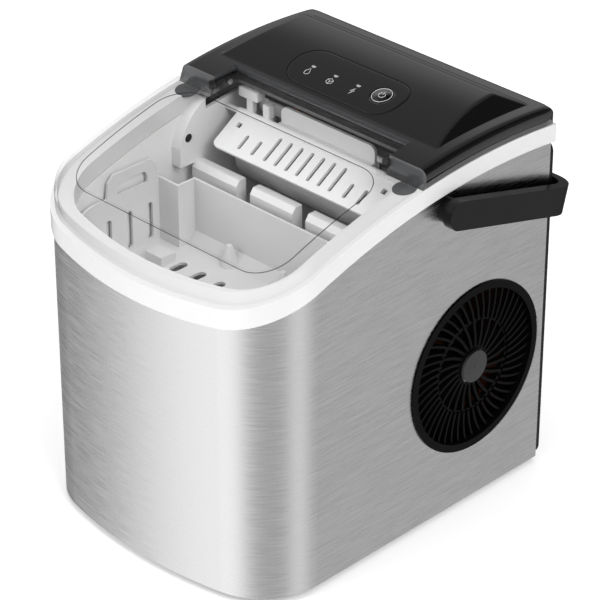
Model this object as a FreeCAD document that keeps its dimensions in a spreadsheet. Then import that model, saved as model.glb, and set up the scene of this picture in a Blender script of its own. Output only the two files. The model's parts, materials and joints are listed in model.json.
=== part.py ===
import FreeCAD
import Part
import Sketcher
import math
import os

# Countertop ice maker, millimetres. +Z is up, the front with the ice lid faces -Y, X runs left to right
# as seen from the front. The origin is on the floor under the middle of the whole object.

doc = FreeCAD.newDocument("IceMaker")
sheet = doc.addObject("Spreadsheet::Sheet", "Sizes")
V = FreeCAD.Vector
placed = []
rows = []


class Size:
    """A number that also carries the sheet expression it comes from."""

    def __init__(self, value, text):
        self.value = value
        self.text = text

    def __add__(self, other):
        return join(self, other, "+", lambda a, b: a + b)

    def __radd__(self, other):
        return join(other, self, "+", lambda a, b: a + b)

    def __sub__(self, other):
        return join(self, other, "-", lambda a, b: a - b)

    def __rsub__(self, other):
        return join(other, self, "-", lambda a, b: a - b)

    def __mul__(self, other):
        return join(self, other, "*", lambda a, b: a * b)

    def __rmul__(self, other):
        return join(other, self, "*", lambda a, b: a * b)

    def __truediv__(self, other):
        return join(self, other, "/", lambda a, b: a / b)

    def __neg__(self):
        return join(0, self, "-", lambda a, b: a - b)


def num(item):
    return item.value if isinstance(item, Size) else float(item)


def text(item):
    return item.text if isinstance(item, Size) else repr(float(item))


def join(left, right, sign, work):
    return Size(work(num(left), num(right)), "(%s %s %s)" % (text(left), sign, text(right)))


def root(item):
    return Size(math.sqrt(num(item)), "sqrt(%s)" % text(item))


def size(alias, value, note):
    """Write one driving dimension in the sheet."""
    rows.append(alias)
    line = len(rows)
    sheet.set("A%d" % line, alias)
    sheet.set("B%d" % line, str(value))
    sheet.set("C%d" % line, note)
    sheet.setAlias("B%d" % line, alias)
    return Size(value, "Sizes." + alias)


# ---- driving dimensions ----
bodyWidth = size("bodyWidth", 222, "steel body, side to side")
bodyDepth = size("bodyDepth", 277, "front of the bulge to the back")
bodyHeight = size("bodyHeight", 248.7, "lower edge to the top of the steel's crown")
cornerRadius = size("cornerRadius", 50, "front upright corners")
frontRadius = size("frontRadius", 328, "bulge of the front")
crownRadius = size("crownRadius", 498, "arch of the top, seen from the side")
crownSetback = size("crownSetback", 55.6, "crown peak, forward of the back")
sheetWall = size("sheetWall", 0.8, "steel sheet")
footHeight = size("footHeight", 5, "feet below the steel")
footRadius = size("footRadius", 9, "rubber foot")
footInset = size("footInset", 26, "foot centre in from the sides and the back")
fitGap = size("fitGap", 0.2, "between pieces that are fixed together")
moveGap = size("moveGap", 0.4, "between pieces that move past each other")
pinGap = size("pinGap", 0.05, "radial, pin in its hole")

collarHeight = size("collarHeight", 13, "white band around the top")
collarProud = size("collarProud", 1.5, "band stands out past the steel")
rimWidth = size("rimWidth", 14, "steel face to the edge of the ice opening")

coverRise = size("coverRise", 25.5, "hood shoulders above the steel's crown")
coverWall = size("coverWall", 2.6, "hood wall")
coverBevel = size("coverBevel", 5.5, "rounding along the hood's shoulders")
notchDepth = size("notchDepth", 103.6, "hood front wall, forward of the back")
armReach = size("armReach", 127.5, "hood arm tips, forward of the back")
armInner = size("armInner", 82, "inner face of an arm from the middle")
domeRise = size("domeRise", 35.2, "hood's raised middle above the steel's crown")
domeSetback = size("domeSetback", 37, "its crest, forward of the back")
domeRadius = size("domeRadius", 178, "its arch, seen from the side")
domeFoot = size("domeFoot", 99, "its half width at the foot")
domeLean = size("domeLean", 15, "its sides lean in, foot to crest")
domeEdge = size("domeEdge", 35.5, "its rear edge, forward of the back")
domeRun = size("domeRun", 23, "its rear slope, front to back")

lidRise = size("lidRise", 9.5, "lid top above the collar")
lidWall = size("lidWall", 2, "lid wall")
lidInset = size("lidInset", 1.5, "lid edge in from the steel face")
lidPinSetback = size("lidPinSetback", 114, "lid pins, forward of the back")
lidPinRise = size("lidPinRise", 14.8, "lid pins above the crown peak")
lidPinRadius = size("lidPinRadius", 2.2, "lid pin")
lidEarRadius = size("lidEarRadius", 4.5, "ear round the pin")
lidEarWidth = size("lidEarWidth", 5, "ear along the pin")
lidTail = size("lidTail", 106, "lid's rear edge, forward of the back")
lidShoulder = size("lidShoulder", 3, "lid to the arm tips")
lidStep = size("lidStep", 0.8, "sunk middle of the lid's top")
lidStepSide = size("lidStepSide", 16, "sunk middle, in from the steel sides")
lidStepFront = size("lidStepFront", 29, "sunk middle, in from the front")
lidStepRear = size("lidStepRear", 141, "sunk middle's rear edge, forward of the back")
lidStepCorner = size("lidStepCorner", 23, "corner of the sunk middle")

handleReach = size("handleReach", 14.5, "bar behind the back")
handleBar = size("handleBar", 7, "bar thickness")
handleArm = size("handleArm", 7, "arm thickness")
handleDepth = size("handleDepth", 20.2, "arm and bar height")
handleClear = size("handleClear", 6, "arm to the steel side")
handleCorner = size("handleCorner", 20, "outer corner between arm and bar")
handleDroop = size("handleDroop", 15.3, "arm below level at rest, degrees")
handlePinSetback = size("handlePinSetback", 104, "handle pivots, forward of the back")
handlePinDrop = size("handlePinDrop", 14.4, "handle pivots below the crown peak")
handlePinRadius = size("handlePinRadius", 5, "handle pivot")
handleDisc = size("handleDisc", 8.5, "disc of the pivot against the steel")

fanSetback = size("fanSetback", 71, "fan centre, forward of the back")
fanHeight = size("fanHeight", 103, "fan centre above the steel's lower edge")
grilleRadius = size("grilleRadius", 62, "grille ring")
grilleDepth = size("grilleDepth", 6, "grille ring, inwards")
grilleProud = size("grilleProud", 1, "grille ring past the steel")
hubRadius = size("hubRadius", 12.5, "disc at the grille's centre")
finWidth = size("finWidth", 2.2, "one grille fin")
fanRadius = size("fanRadius", 50, "fan blade tips")
fanFrameSide = size("fanFrameSide", 112, "fan housing, square")
fanFrameDepth = size("fanFrameDepth", 24, "fan housing")

linerWall = size("linerWall", 2.5, "inner tub wall")
basinFloor = size("basinFloor", 62, "water basin floor above the lower edge")
basinRear = size("basinRear", 132, "back of the basin, forward of the back")
chamberRear = size("chamberRear", 50, "back of the freezing chamber, from the back")
chamberFloor = size("chamberFloor", 161, "freezing chamber floor above the lower edge")
chamberHalf = size("chamberHalf", 88, "freezing chamber inner half width")
weirTop = size("weirTop", 190, "wall between basin and chamber")
ridgeTop = size("ridgeTop", 208, "blocks on that wall")
ridgeThick = size("ridgeThick", 9, "blocks, front to back")
cheekFront = size("cheekFront", 150, "front of the cheeks, forward of the back")
cheekFoot = size("cheekFoot", 207, "underside of the cheeks")

ledgeWidth = size("ledgeWidth", 6, "ledges that the basket rests on")
basketGap = size("basketGap", 2, "basket to the basin walls")
basketWall = size("basketWall", 2, "basket wall")
basketFloor = size("basketFloor", 156, "underside of the basket above the lower edge")
basketProud = size("basketProud", 1.5, "basket rim above the steel at the opening's front edge")
basketRear = size("basketRear", 149, "back of the basket, forward of the back")
basketNotch = size("basketNotch", 15, "square step in the basket's rear corners")
basketPitch = size("basketPitch", 18.3, "between floor slots")
gripRise = size("gripRise", 16, "grip flap above the basket rim")

trayAxisSetback = size("trayAxisSetback", 85, "water tray axis, forward of the back")
trayAxisHeight = size("trayAxisHeight", 208, "water tray axis above the lower edge")
trayRadius = size("trayRadius", 26, "water tray outside")
trayWall = size("trayWall", 2, "water tray wall")
trayHalf = size("trayHalf", 76, "water tray half length")
trayPinRadius = size("trayPinRadius", 4, "water tray stub shafts")
fingerRadius = size("fingerRadius", 4.5, "freezing finger")
fingerPitch = size("fingerPitch", 16, "freezing fingers apart")
fingerLength = size("fingerLength", 44, "freezing finger below its bar")

shovelHalf = size("shovelHalf", 76, "ice shovel half width")
shovelLength = size("shovelLength", 31, "ice shovel, front to back")
shovelTilt = size("shovelTilt", 32, "ice shovel slope at rest, degrees")
shovelThick = size("shovelThick", 2.4, "ice shovel plate")
shovelPitch = size("shovelPitch", 10, "between long slots in the shovel")
shovelSlot = size("shovelSlot", 3, "slot in the shovel")
shovelPinSetback = size("shovelPinSetback", 106, "shovel pins, forward of the back")
shovelPinHeight = size("shovelPinHeight", 239, "shovel pins above the lower edge")
shovelPinRadius = size("shovelPinRadius", 2, "shovel pin")

panelWidth = size("panelWidth", 97, "control panel")
panelDepth = size("panelDepth", 37, "control panel, front to back")
panelThick = size("panelThick", 1.4, "control panel")
panelSetback = size("panelSetback", 81, "control panel centre, forward of the back")
lampPitch = size("lampPitch", 20.4, "between lamps and button")
lampRadius = size("lampRadius", 1.9, "lamp lens")
buttonRadius = size("buttonRadius", 7.2, "power button")

compressorRadius = size("compressorRadius", 42, "compressor can")
compressorHeight = size("compressorHeight", 100, "compressor can")
rearThick = size("rearThick", 3, "rear panel")
drainRadius = size("drainRadius", 6, "drain spout bore")
pipeRadius = size("pipeRadius", 3, "refrigerant pipe")
hoseRadius = size("hoseRadius", 5, "water hose outside")

# ---- places worked out from them ----
half = bodyWidth / 2
backY = (bodyDepth + collarProud - handleReach) / 2
frontY = backY - bodyDepth
lowZ = footHeight
peakZ = lowZ + bodyHeight
peakY = backY - crownSetback
bulgeY = frontY + frontRadius
cornerX = half - cornerRadius
bulgeRun = frontRadius - cornerRadius
cornerY = bulgeY - root(bulgeRun * bulgeRun - cornerX * cornerX)
coverRadius = crownRadius + coverRise
domeY = backY - domeSetback
domeZ = peakZ + domeRise
notchY = backY - notchDepth
lidTopRise = collarHeight + lidRise
armOuter = half + collarProud - 0.5
clearOut = bodyWidth + 40
fanY = backY - fanSetback
fanZ = lowZ + fanHeight
trayY = backY - trayAxisSetback
trayZ = lowZ + trayAxisHeight
handleY = backY - handlePinSetback
handleZ = peakZ - handlePinDrop
lidPinY = backY - lidPinSetback
lidPinZ = peakZ + lidPinRise
shovelY = backY - shovelPinSetback
shovelZ = lowZ + shovelPinHeight


def crownAt(y, rise=0):
    """Height of the arched top at y, raised by rise."""
    run = y - peakY
    radius = crownRadius + rise
    return peakZ - crownRadius + root(radius * radius - run * run)


def coverAt(y, rise=0):
    """Height of the hood's shoulders at y, parallel to the steel's arch."""
    return crownAt(y, coverRise + rise)


def domeAt(y, rise=0):
    """Height of the hood's raised middle at y."""
    run = y - domeY
    radius = domeRadius + rise
    return domeZ - domeRadius + root(radius * radius - run * run)


basketRim = crownAt(frontY + rimWidth) + basketProud


# ---- ways to make features ----
def bind(thing, path, item):
    """Set a property from a Size through the sheet, or from a plain number."""
    if isinstance(item, Size):
        thing.setExpression(path, item.text)
    else:
        parts = path.split(".")
        if len(parts) == 1:
            setattr(thing, path, item)
        else:
            thing.setExpression(path, repr(float(item)))


def put(thing, x=0, y=0, z=0, axis=None, angle=0):
    """Place a thing, turned by an angle about an axis."""
    for letter, item in zip("xyz", (x, y, z)):
        bind(thing, "Placement.Base." + letter, item)
    if axis is not None:
        thing.Placement.Rotation = FreeCAD.Rotation(V(*axis), num(angle))
        if isinstance(angle, Size):
            for letter, item in zip("xyz", axis):
                bind(thing, "Placement.Rotation.Axis." + letter, item)
            bind(thing, "Placement.Rotation.Angle", angle)
    return thing


def node(thing, label):
    """Name a finished piece, whose label is also its file."""
    thing.Label = label
    placed.append(thing)
    return thing


def box(name, low, high):
    thing = doc.addObject("Part::Box", name)
    for side, a, b in zip(("Length", "Width", "Height"), low, high):
        bind(thing, side, b - a)
    return put(thing, *low)


turns = {"X": ((0, 1, 0), 90), "Y": ((1, 0, 0), -90), "Z": (None, 0)}


def rod(name, radius, length, at, along="Z"):
    """Round bar that starts at a point and runs along +X, +Y or +Z."""
    thing = doc.addObject("Part::Cylinder", name)
    bind(thing, "Radius", radius)
    bind(thing, "Height", length)
    axis, angle = turns[along]
    return put(thing, *at, axis=axis, angle=angle)


def fuse(name, things):
    thing = doc.addObject("Part::MultiFuse", name)
    thing.Shapes = things
    return thing


def cut(name, base, tools):
    thing = doc.addObject("Part::Cut", name)
    thing.Base = base
    thing.Tool = tools[0] if len(tools) == 1 else fuse(name + "Tools", tools)
    return thing


def body(label):
    return doc.addObject("PartDesign::Body", label + "Body")


def sketch(owner, name, plane, offset=0):
    """Empty sketch on one of the body's own planes, moved along the plane's normal."""
    face = [f for f in owner.Origin.OriginFeatures if f.Role == plane][0]
    thing = owner.newObject("Sketcher::SketchObject", name)
    thing.AttachmentSupport = (face, "")
    thing.MapMode = "FlatFace"
    bind(thing, "AttachmentOffset.Base.z", offset)
    return thing


def tie(thing, kind, *spec):
    """Add one sketch constraint whose last entry is a Size or number, and bind it to the sheet."""
    index = thing.addConstraint(Sketcher.Constraint(kind, *spec[:-1], num(spec[-1])))
    if isinstance(spec[-1], Size):
        thing.setExpression("Constraints[%d]" % index, spec[-1].text)


def outline(thing, points):
    """Closed outline. A point is (u, v), or (u, v, radius, bend) where an arc of that radius runs to the
    next point, with its centre on the left for a bend of 1 and on the right for -1. A radius of "half"
    makes a half circle."""
    first = thing.GeometryCount
    count = len(points)
    flat = [V(num(p[0]), num(p[1]), 0) for p in points]
    for i, point in enumerate(points):
        a, b = flat[i], flat[(i + 1) % count]
        if len(point) == 2:
            thing.addGeometry(Part.LineSegment(a, b), False)
            continue
        chord = b - a
        radius = chord.Length / 2 if point[2] == "half" else num(point[2])
        away = math.sqrt(max(radius * radius - chord.Length ** 2 / 4, 0))
        left = V(-chord.y, chord.x, 0).normalize()
        centre = (a + b) / 2 + left * away * point[3]
        start = math.atan2(a.y - centre.y, a.x - centre.x)
        end = math.atan2(b.y - centre.y, b.x - centre.x)
        if point[3] < 0:
            start, end = end, start
        ring = Part.Circle(centre, V(0, 0, 1), radius)
        thing.addGeometry(Part.ArcOfCircle(ring, start, end), False)
    for i, point in enumerate(points):
        here, after = first + i, first + (i + 1) % count
        turned = len(point) == 4 and point[3] < 0
        following = points[(i + 1) % count]
        startEnd = 2 if turned else 1
        thing.addConstraint(
            Sketcher.Constraint(
                "Coincident", here, 3 - startEnd, after, 2 if len(following) == 4 and following[3] < 0 else 1
            )
        )
        tie(thing, "DistanceX", -1, 1, here, startEnd, point[0])
        tie(thing, "DistanceY", -1, 1, here, startEnd, point[1])
        if len(point) == 4 and point[2] == "half":
            level = abs(flat[(i + 1) % count].y - flat[i].y) < 1e-6
            tie(thing, "DistanceY" if level else "DistanceX", -1, 1, here, 3, point[1] if level else point[0])
        elif len(point) == 4:
            tie(thing, "Radius", here, point[2])
    return thing


def circle(thing, u, v, radius):
    index = thing.addGeometry(Part.Circle(V(num(u), num(v), 0), V(0, 0, 1), num(radius)), False)
    tie(thing, "DistanceX", -1, 1, index, 3, u)
    tie(thing, "DistanceY", -1, 1, index, 3, v)
    tie(thing, "Radius", index, radius)
    return thing


def feature(owner, kind, name, profile, length, reverse=False):
    """Pad or Pocket of a given length."""
    thing = owner.newObject("PartDesign::" + kind, name)
    thing.Profile = profile
    bind(thing, "Length", length)
    thing.Reversed = reverse
    profile.Visibility = False
    return thing


def rectangle(u0, v0, u1, v1):
    return [(u0, v0), (u1, v0), (u1, v1), (u0, v1)]


def rounded(u0, v0, u1, v1, r):
    """Rectangle with quarter-round corners, counter-clockwise."""
    return [
        (u0 + r, v0), (u1 - r, v0, r, 1), (u1, v0 + r), (u1, v1 - r, r, 1),
        (u1 - r, v1), (u0 + r, v1, r, 1), (u0, v1 - r), (u0, v0 + r, r, 1),
    ]


def slot(u0, v0, u1, v1):
    """Upright slot with round ends."""
    r = (u1 - u0) / 2
    return [(u0, v0 + r, "half", 1), (u1, v0 + r), (u1, v1 - r, "half", 1), (u0, v1 - r)]


def bowed(out, back):
    """The body's plan moved outwards by out and closed straight across at y = back."""
    reach = (frontRadius + out) / bulgeRun
    x = cornerX * reach
    y = bulgeY - (bulgeY - cornerY) * reach
    return [
        (-(half + out), back), (-(half + out), cornerY, cornerRadius + out, 1), (-x, y, frontRadius + out, 1),
        (x, y, cornerRadius + out, 1), (half + out, cornerY), (half + out, back),
    ]


def uWall(out, inside, back):
    """The same plan as a wall between two offsets, open at the back."""
    outer = bowed(out, back)
    inner = bowed(inside, back)
    reverse = [
        inner[5], (inner[4][0], inner[4][1], cornerRadius + inside, -1),
        (inner[3][0], inner[3][1], frontRadius + inside, -1),
        (inner[2][0], inner[2][1], cornerRadius + inside, -1), inner[1][:2], inner[0],
    ]
    return outer + reverse


farFront = frontY - 30
farBack = backY + 30
farTop = domeZ + 60


def aboveCrown(rise):
    """Side view of everything above the arched top."""
    return [
        (farFront, farTop), (farFront, crownAt(farFront, rise), crownRadius + rise, -1),
        (farBack, crownAt(farBack, rise)), (farBack, farTop),
    ]


def belowCrown(rise):
    """Side view of everything below the arched top."""
    return [
        (farFront, lowZ - 30), (farBack, lowZ - 30), (farBack, crownAt(farBack, rise), crownRadius + rise, 1),
        (farFront, crownAt(farFront, rise)),
    ]


def trim(owner, name, points, halfSpan=None):
    """Cut a side-view outline right across the body, or only over a middle span."""
    reach = clearOut / 2 if halfSpan is None else halfSpan
    profile = outline(sketch(owner, name + "Sketch", "YZ_Plane", reach), points)
    return feature(owner, "Pocket", name, profile, reach * 2)


def repeat(owner, name, source, axis, gap, count):
    """Linear pattern along one of the sketch axes of its source."""
    thing = owner.newObject("PartDesign::LinearPattern", name)
    thing.Originals = [source]
    thing.Direction = axis
    bind(thing, "Length", gap * (count - 1))
    thing.Occurrences = count
    owner.Tip = thing
    return thing


def around(owner, name, source, count):
    """Full-circle pattern about the body's own Z axis."""
    thing = owner.newObject("PartDesign::PolarPattern", name)
    thing.Originals = [source]
    axis = [f for f in owner.Origin.OriginFeatures if f.Role == "Z_Axis"][0]
    thing.Axis = (axis, [""])
    thing.Angle = 360
    thing.Occurrences = count
    owner.Tip = thing
    return thing


def edgesWhere(shape, test):
    return ["Edge%d" % (i + 1) for i, edge in enumerate(shape.Edges) if test(edge)]


def soften(owner, name, base, radius, test):
    """Fillet the edges that pass a test."""
    doc.recompute()
    names = edgesWhere(base.Shape, test)
    thing = owner.newObject("PartDesign::Fillet", name)
    thing.Base = (base, names)
    bind(thing, "Radius", radius)
    return thing


def revolve(owner, name, points, kind="Revolution", plane="XZ_Plane"):
    """Turn a (radius, height) outline about the body's own Z axis."""
    profile = outline(sketch(owner, name + "Sketch", plane), points)
    thing = owner.newObject("PartDesign::" + kind, name)
    thing.Profile = profile
    thing.ReferenceAxis = (profile, ["V_Axis"])
    thing.Angle = 360
    profile.Visibility = False
    return thing


def pipe(label, points, radius, bend, bore=0):
    """Straight runs joined by tangent arcs, swept with a round section."""
    path = [V(*[num(c) for c in p]) for p in points]
    edges = []
    start = path[0]
    for before, here, after in zip(path, path[1:], path[2:]):
        into = (here - before).normalize()
        out = (after - here).normalize()
        turn = into.getAngle(out)
        back = num(bend) * math.tan(turn / 2)
        enter = here - into * back
        leave = here + out * back
        side = (out - into).normalize()
        middle = here + side * (num(bend) / math.cos(turn / 2) - num(bend))
        edges.append(Part.LineSegment(start, enter).toShape())
        edges.append(Part.Arc(enter, middle, leave).toShape())
        start = leave
    edges.append(Part.LineSegment(start, path[-1]).toShape())
    wire = Part.Wire(edges)
    first = (path[1] - path[0]).normalize()
    shape = sweep(wire, path[0], first, num(radius))
    if num(bore):
        shape = shape.cut(sweep(wire, path[0], first, num(bore)))
    thing = doc.addObject("Part::Feature", label)
    thing.Shape = shape
    return node(thing, label)


def sweep(wire, start, direction, radius):
    ring = Part.Wire(Part.Circle(start, direction, radius).toShape())
    return wire.makePipeShell([ring], True, False)


# ---- body shell ----
def steelShell():
    """One sheet bent round both sides and the front, with holes for fan, handle and drain."""
    owner = body("steel_shell")
    wall = outline(sketch(owner, "shellPlan", "XY_Plane", lowZ), uWall(0, -sheetWall, backY - rearThick))
    feature(owner, "Pad", "shellWall", wall, bodyHeight + 10)
    trim(owner, "shellTop", aboveCrown(0))
    fan = circle(sketch(owner, "fanHoleSketch", "YZ_Plane", half + 5), fanY, fanZ, grilleRadius - 2)
    feature(owner, "Pocket", "fanHole", fan, half)
    pinHole = sketch(owner, "pinHoleSketch", "YZ_Plane", half + 5)
    pins = circle(pinHole, handleY, handleZ, handlePinRadius + fitGap)
    feature(owner, "Pocket", "pinHoles", pins, bodyWidth + 10)
    spoutHole = sketch(owner, "spoutHoleSketch", "YZ_Plane", 5 - half)
    spout = circle(spoutHole, drainY, drainZ, spoutRadius + fitGap)
    feature(owner, "Pocket", "spoutHole", spout, 10)
    return node(owner, "steel_shell")


drainY = backY - 190
spoutRadius = drainRadius + 2
drainZ = lowZ + basinFloor + linerWall + spoutRadius


def tiltedCap(name, side, radius, depth, sink):
    """Disc let into the sloping rim in front of a hood arm."""
    thing = doc.addObject("Part::Cylinder", name)
    bind(thing, "Radius", radius)
    bind(thing, "Height", depth)
    y = backY - armReach - 4
    slope = math.degrees(math.asin((num(y) - num(peakY)) / num(crownRadius + collarHeight)))
    tilt = Size(-slope, "-asin(%s)" % text((y - peakY) / (crownRadius + collarHeight)))
    return put(thing, side * (armOuter - 12), y, crownAt(y, collarHeight) - sink, axis=(1, 0, 0), angle=tilt)


capRadius = 8
capDepth = 1.6


def topCollar():
    """White moulded band that hides the steel's upper edge and frames the ice opening."""
    owner = body("top_collar")
    plan = outline(sketch(owner, "collarPlan", "XY_Plane", lowZ), bowed(collarProud, backY))
    outline(plan, bowed(-rimWidth, backY - rimWidth))
    feature(owner, "Pad", "collarRing", plan, bodyHeight + collarHeight + 10)
    trim(owner, "collarUnder", belowCrown(fitGap))
    trim(owner, "collarOver", aboveCrown(collarHeight))
    sinks = []
    for name, side in sides:
        sinks.append(tiltedCap("capSeat" + name, side, capRadius + fitGap, 6, capDepth + fitGap))
    return node(cut("topCollar", owner, sinks), "top_collar")


sides = (("Left", -1), ("Right", 1))


def rimCaps():
    for name, side in sides:
        node(tiltedCap("cap" + name, side, capRadius, capDepth, capDepth), "rim_cap_" + name.lower())


def rearPanel():
    """Black plastic back with an air intake of long slots, and the hole for the cord gland."""
    owner = body("rear_panel")
    top = crownAt(backY) - fitGap - lowZ
    plate = outline(
        sketch(owner, "rearPlan", "XZ_Plane", rearThick - backY), rounded(-half, lowZ, half, lowZ + top, 8)
    )
    feature(owner, "Pad", "rearPlate", plate, rearThick, True)
    inner = half - sheetWall - fitGap
    lip = sketch(owner, "rearLipPlan", "XZ_Plane", rearThick - backY)
    outline(lip, rectangle(-inner, lowZ + 10, inner, lowZ + top - 10))
    outline(lip, rectangle(3 - inner, lowZ + 13, inner - 3, lowZ + top - 13))
    feature(owner, "Pad", "rearLip", lip, 6)
    vent = outline(
        sketch(owner, "ventSketch", "XZ_Plane", -backY - 5),
        slot(-80, lowZ + 120, -76, lowZ + 200),
    )
    cutVent = feature(owner, "Pocket", "vent", vent, 30, True)
    doc.recompute()
    repeat(owner, "vents", cutVent, (vent, ["H_Axis"]), Size(8, "8"), 21)
    gland = circle(sketch(owner, "glandSketch", "XZ_Plane", -backY - 5), glandX, glandZ, glandRadius)
    feature(owner, "Pocket", "glandHole", gland, 30, True)
    return node(owner, "rear_panel")


glandX = half - 30
glandZ = lowZ + 34
glandRadius = 7


def cordGland():
    """Bush that the mains lead passes through."""
    owner = body("cord_gland")
    hole = 3.6
    shank = glandRadius - 0.2
    points = [
        (hole, -rearThick - 6), (shank, -rearThick - 6), (shank, 0.2), (glandRadius + 3.5, 0.2),
        (glandRadius + 3.5, 3), (glandRadius, 5), (hole, 5),
    ]
    revolve(owner, "glandTurn", points)
    put(owner, glandX, backY, glandZ, axis=(1, 0, 0), angle=-90)
    return node(owner, "cord_gland")


def basePan():
    """Plastic floor that the compressor, basin and feet are fixed to."""
    owner = body("base_pan")
    gap = sheetWall + fitGap
    rear = backY - rearThick - fitGap
    plan = outline(sketch(owner, "panPlan", "XY_Plane", lowZ), bowed(-gap, rear))
    feature(owner, "Pad", "panBlock", plan, panLip)
    hollow = outline(sketch(owner, "panHollow", "XY_Plane", lowZ + panLip), bowed(-gap - 3, rear - 3))
    feature(owner, "Pocket", "panInside", hollow, panLip - panFloor)
    holes = sketch(owner, "footHoles", "XY_Plane", lowZ + panFloor + 1)
    for x, y in footPlaces:
        circle(holes, x, y, 2.2)
    feature(owner, "Pocket", "footHolesCut", holes, panFloor + 2)
    return node(owner, "base_pan")


panLip = 9
panFloor = 3
footFront = frontY + 44
footPlaces = [
    (-(half - footInset), footFront), (half - footInset, footFront),
    (-(half - footInset), backY - footInset), (half - footInset, backY - footInset),
]
footNames = ("front_left", "front_right", "rear_left", "rear_right")


def feet():
    for name, (x, y) in zip(footNames, footPlaces):
        owner = body("foot_" + name)
        neckTop = footHeight + panFloor + 0.2
        points = [
            (0, 0), (footRadius - 1, 0), (footRadius, 1), (footRadius, footHeight), (2, footHeight),
            (2, neckTop), (3, neckTop), (1.6, neckTop + 3), (0, neckTop + 3),
        ]
        revolve(owner, "footTurn_" + name, points)
        put(owner, x, y, 0)
        node(owner, "foot_" + name)


# ---- hood, panel and lid ----
hoodCorner = 8


def coverProfile(rise, front, low, back):
    """Side view of the hood with its arms, moved in by -rise."""
    r = hoodCorner
    return [
        (back, low), (back, coverAt(back, rise) - r, r, 1),
        (back - r, coverAt(back - r, rise), coverRadius + rise, 1),
        (front + 8, coverAt(front + 8, rise), 10, 1), (front, coverAt(front, rise) - 6), (front, low),
    ]


def topCover():
    """Black hood over the machine: arms at both sides hold the lid, the panel sits in its top."""
    owner = body("top_cover")
    seat = collarHeight + fitGap
    side = outline(
        sketch(owner, "hoodSide", "YZ_Plane", armOuter),
        coverProfile(0, backY - armReach, crownAt(backY, seat) - 20, backY),
    )
    feature(owner, "Pad", "hoodBlock", side, armOuter * 2, True)
    trim(owner, "hoodSeat", belowCrown(seat))
    notch = outline(
        sketch(owner, "notchPlan", "XY_Plane", farTop), rectangle(-armInner, farFront, armInner, notchY))
    feature(owner, "Pocket", "notch", notch, farTop)
    low = crownAt(backY, seat) - 20
    y2 = backY - coverWall
    y3 = y2 - hoodCorner
    y4 = notchY + coverWall
    inside = [
        (y2, low), (y2, coverAt(y2) - coverWall - hoodCorner),
        (y3, coverAt(y3, -coverWall), coverRadius - coverWall, 1), (y4, coverAt(y4, -coverWall)), (y4, low),
    ]
    trim(owner, "hoodInside", inside, armOuter - coverWall - 3)
    shoulder = sketch(owner, "shoulderPlan", "XZ_Plane", -peakY)
    bind(shoulder, "AttachmentOffset.Base.y", peakZ - crownRadius)
    x0 = armOuter - coverBevel
    r0 = coverRadius - coverBevel
    for way in (1, -1):
        outline(shoulder, [
            (way * x0, coverRadius, coverBevel * 1.1, -way), (way * armOuter, r0), (way * (armOuter + 2), r0),
            (way * (armOuter + 2), coverRadius + 2), (way * x0, coverRadius + 2),
        ])
    groove = owner.newObject("PartDesign::Groove", "shoulders")
    groove.Profile = shoulder
    groove.ReferenceAxis = (shoulder, ["H_Axis"])
    groove.Angle = 360
    shoulder.Visibility = False
    whole = fuse("hoodWithDome", [owner, dome("dome", 0)])
    seatTool = panelPlate("panelSeat", fitGap, fitGap, 20)
    wells = []
    for name, way in sides:
        wells.append(rod("lidPinHole" + name, lidPinRadius + 0.02, 8, (pinStart(way), lidPinY, lidPinZ), "X"))
    well = rod("buttonWell", buttonRadius + 0.5, 14, (buttonX, panelY, domeAt(panelY) - 12))
    hollow = dome("domeInside", coverWall)
    return node(cut("topCover", whole, [hollow, seatTool, well] + wells), "top_cover")


def dome(name, inset):
    """The hood's raised middle: leaning sides under a steeper arch, sloped off at the back."""
    owner = body(name)
    foot = coverAt(backY)
    high = domeZ + 2
    lean = domeLean / (domeZ - foot)
    low = foot - 2 - inset * 1.6
    rear = backY - domeEdge + domeRun - inset
    front = notchY + inset
    x0 = domeFoot - inset * 1.5
    x1 = x0 - lean * (high - foot)
    section = outline(
        sketch(owner, name + "Section", "XZ_Plane", -rear),
        [(-x0, low), (x0, low), (x0, foot), (x1, high), (-x1, high), (-x0, foot)],
    )
    feature(owner, "Pad", name + "Block", section, rear - front)
    edge = backY - domeEdge - inset
    arch = [
        (front - 1, farTop), (front - 1, domeAt(front - 1, -inset), domeRadius - inset, -1),
        (edge, domeAt(edge, -inset)), (rear, foot - 2 - inset), (farBack, foot - 2 - inset), (farBack, farTop),
    ]
    trim(owner, name + "Arch", arch)
    return owner


panelY = backY - panelSetback
buttonX = lampPitch * 1.5
lampXs = (-(lampPitch * 1.5), -(lampPitch * 0.5), lampPitch * 0.5)
lampNames = ("water", "ice", "power")


def pinStart(way):
    """Low X end of the hole for a lid pin in a hood arm."""
    return armInner if way > 0 else -armInner - 8


def panelPlate(name, grow, sink, over):
    """Rounded plate that follows the raised middle, from the panel's underside up to over above it."""
    owner = body(name)
    wide = panelWidth / 2 + grow
    deep = panelDepth / 2 + grow
    plan = outline(
        sketch(owner, name + "Plan", "XY_Plane", domeAt(panelY) - 15),
        rounded(-wide, panelY - deep, wide, panelY + deep, 14),
    )
    feature(owner, "Pad", name + "Block", plan, 30)
    under = -panelThick - sink
    near = panelY - deep - 5
    far = panelY + deep + 5
    low = [
        (near, farTop - 200), (far, farTop - 200), (far, domeAt(far, under), domeRadius + under, 1),
        (near, domeAt(near, under)),
    ]
    trim(owner, name + "Under", low)
    high = [
        (near, farTop), (near, domeAt(near, over), domeRadius + over, -1), (far, domeAt(far, over)),
        (far, farTop),
    ]
    trim(owner, name + "Over", high)
    return owner


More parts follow.
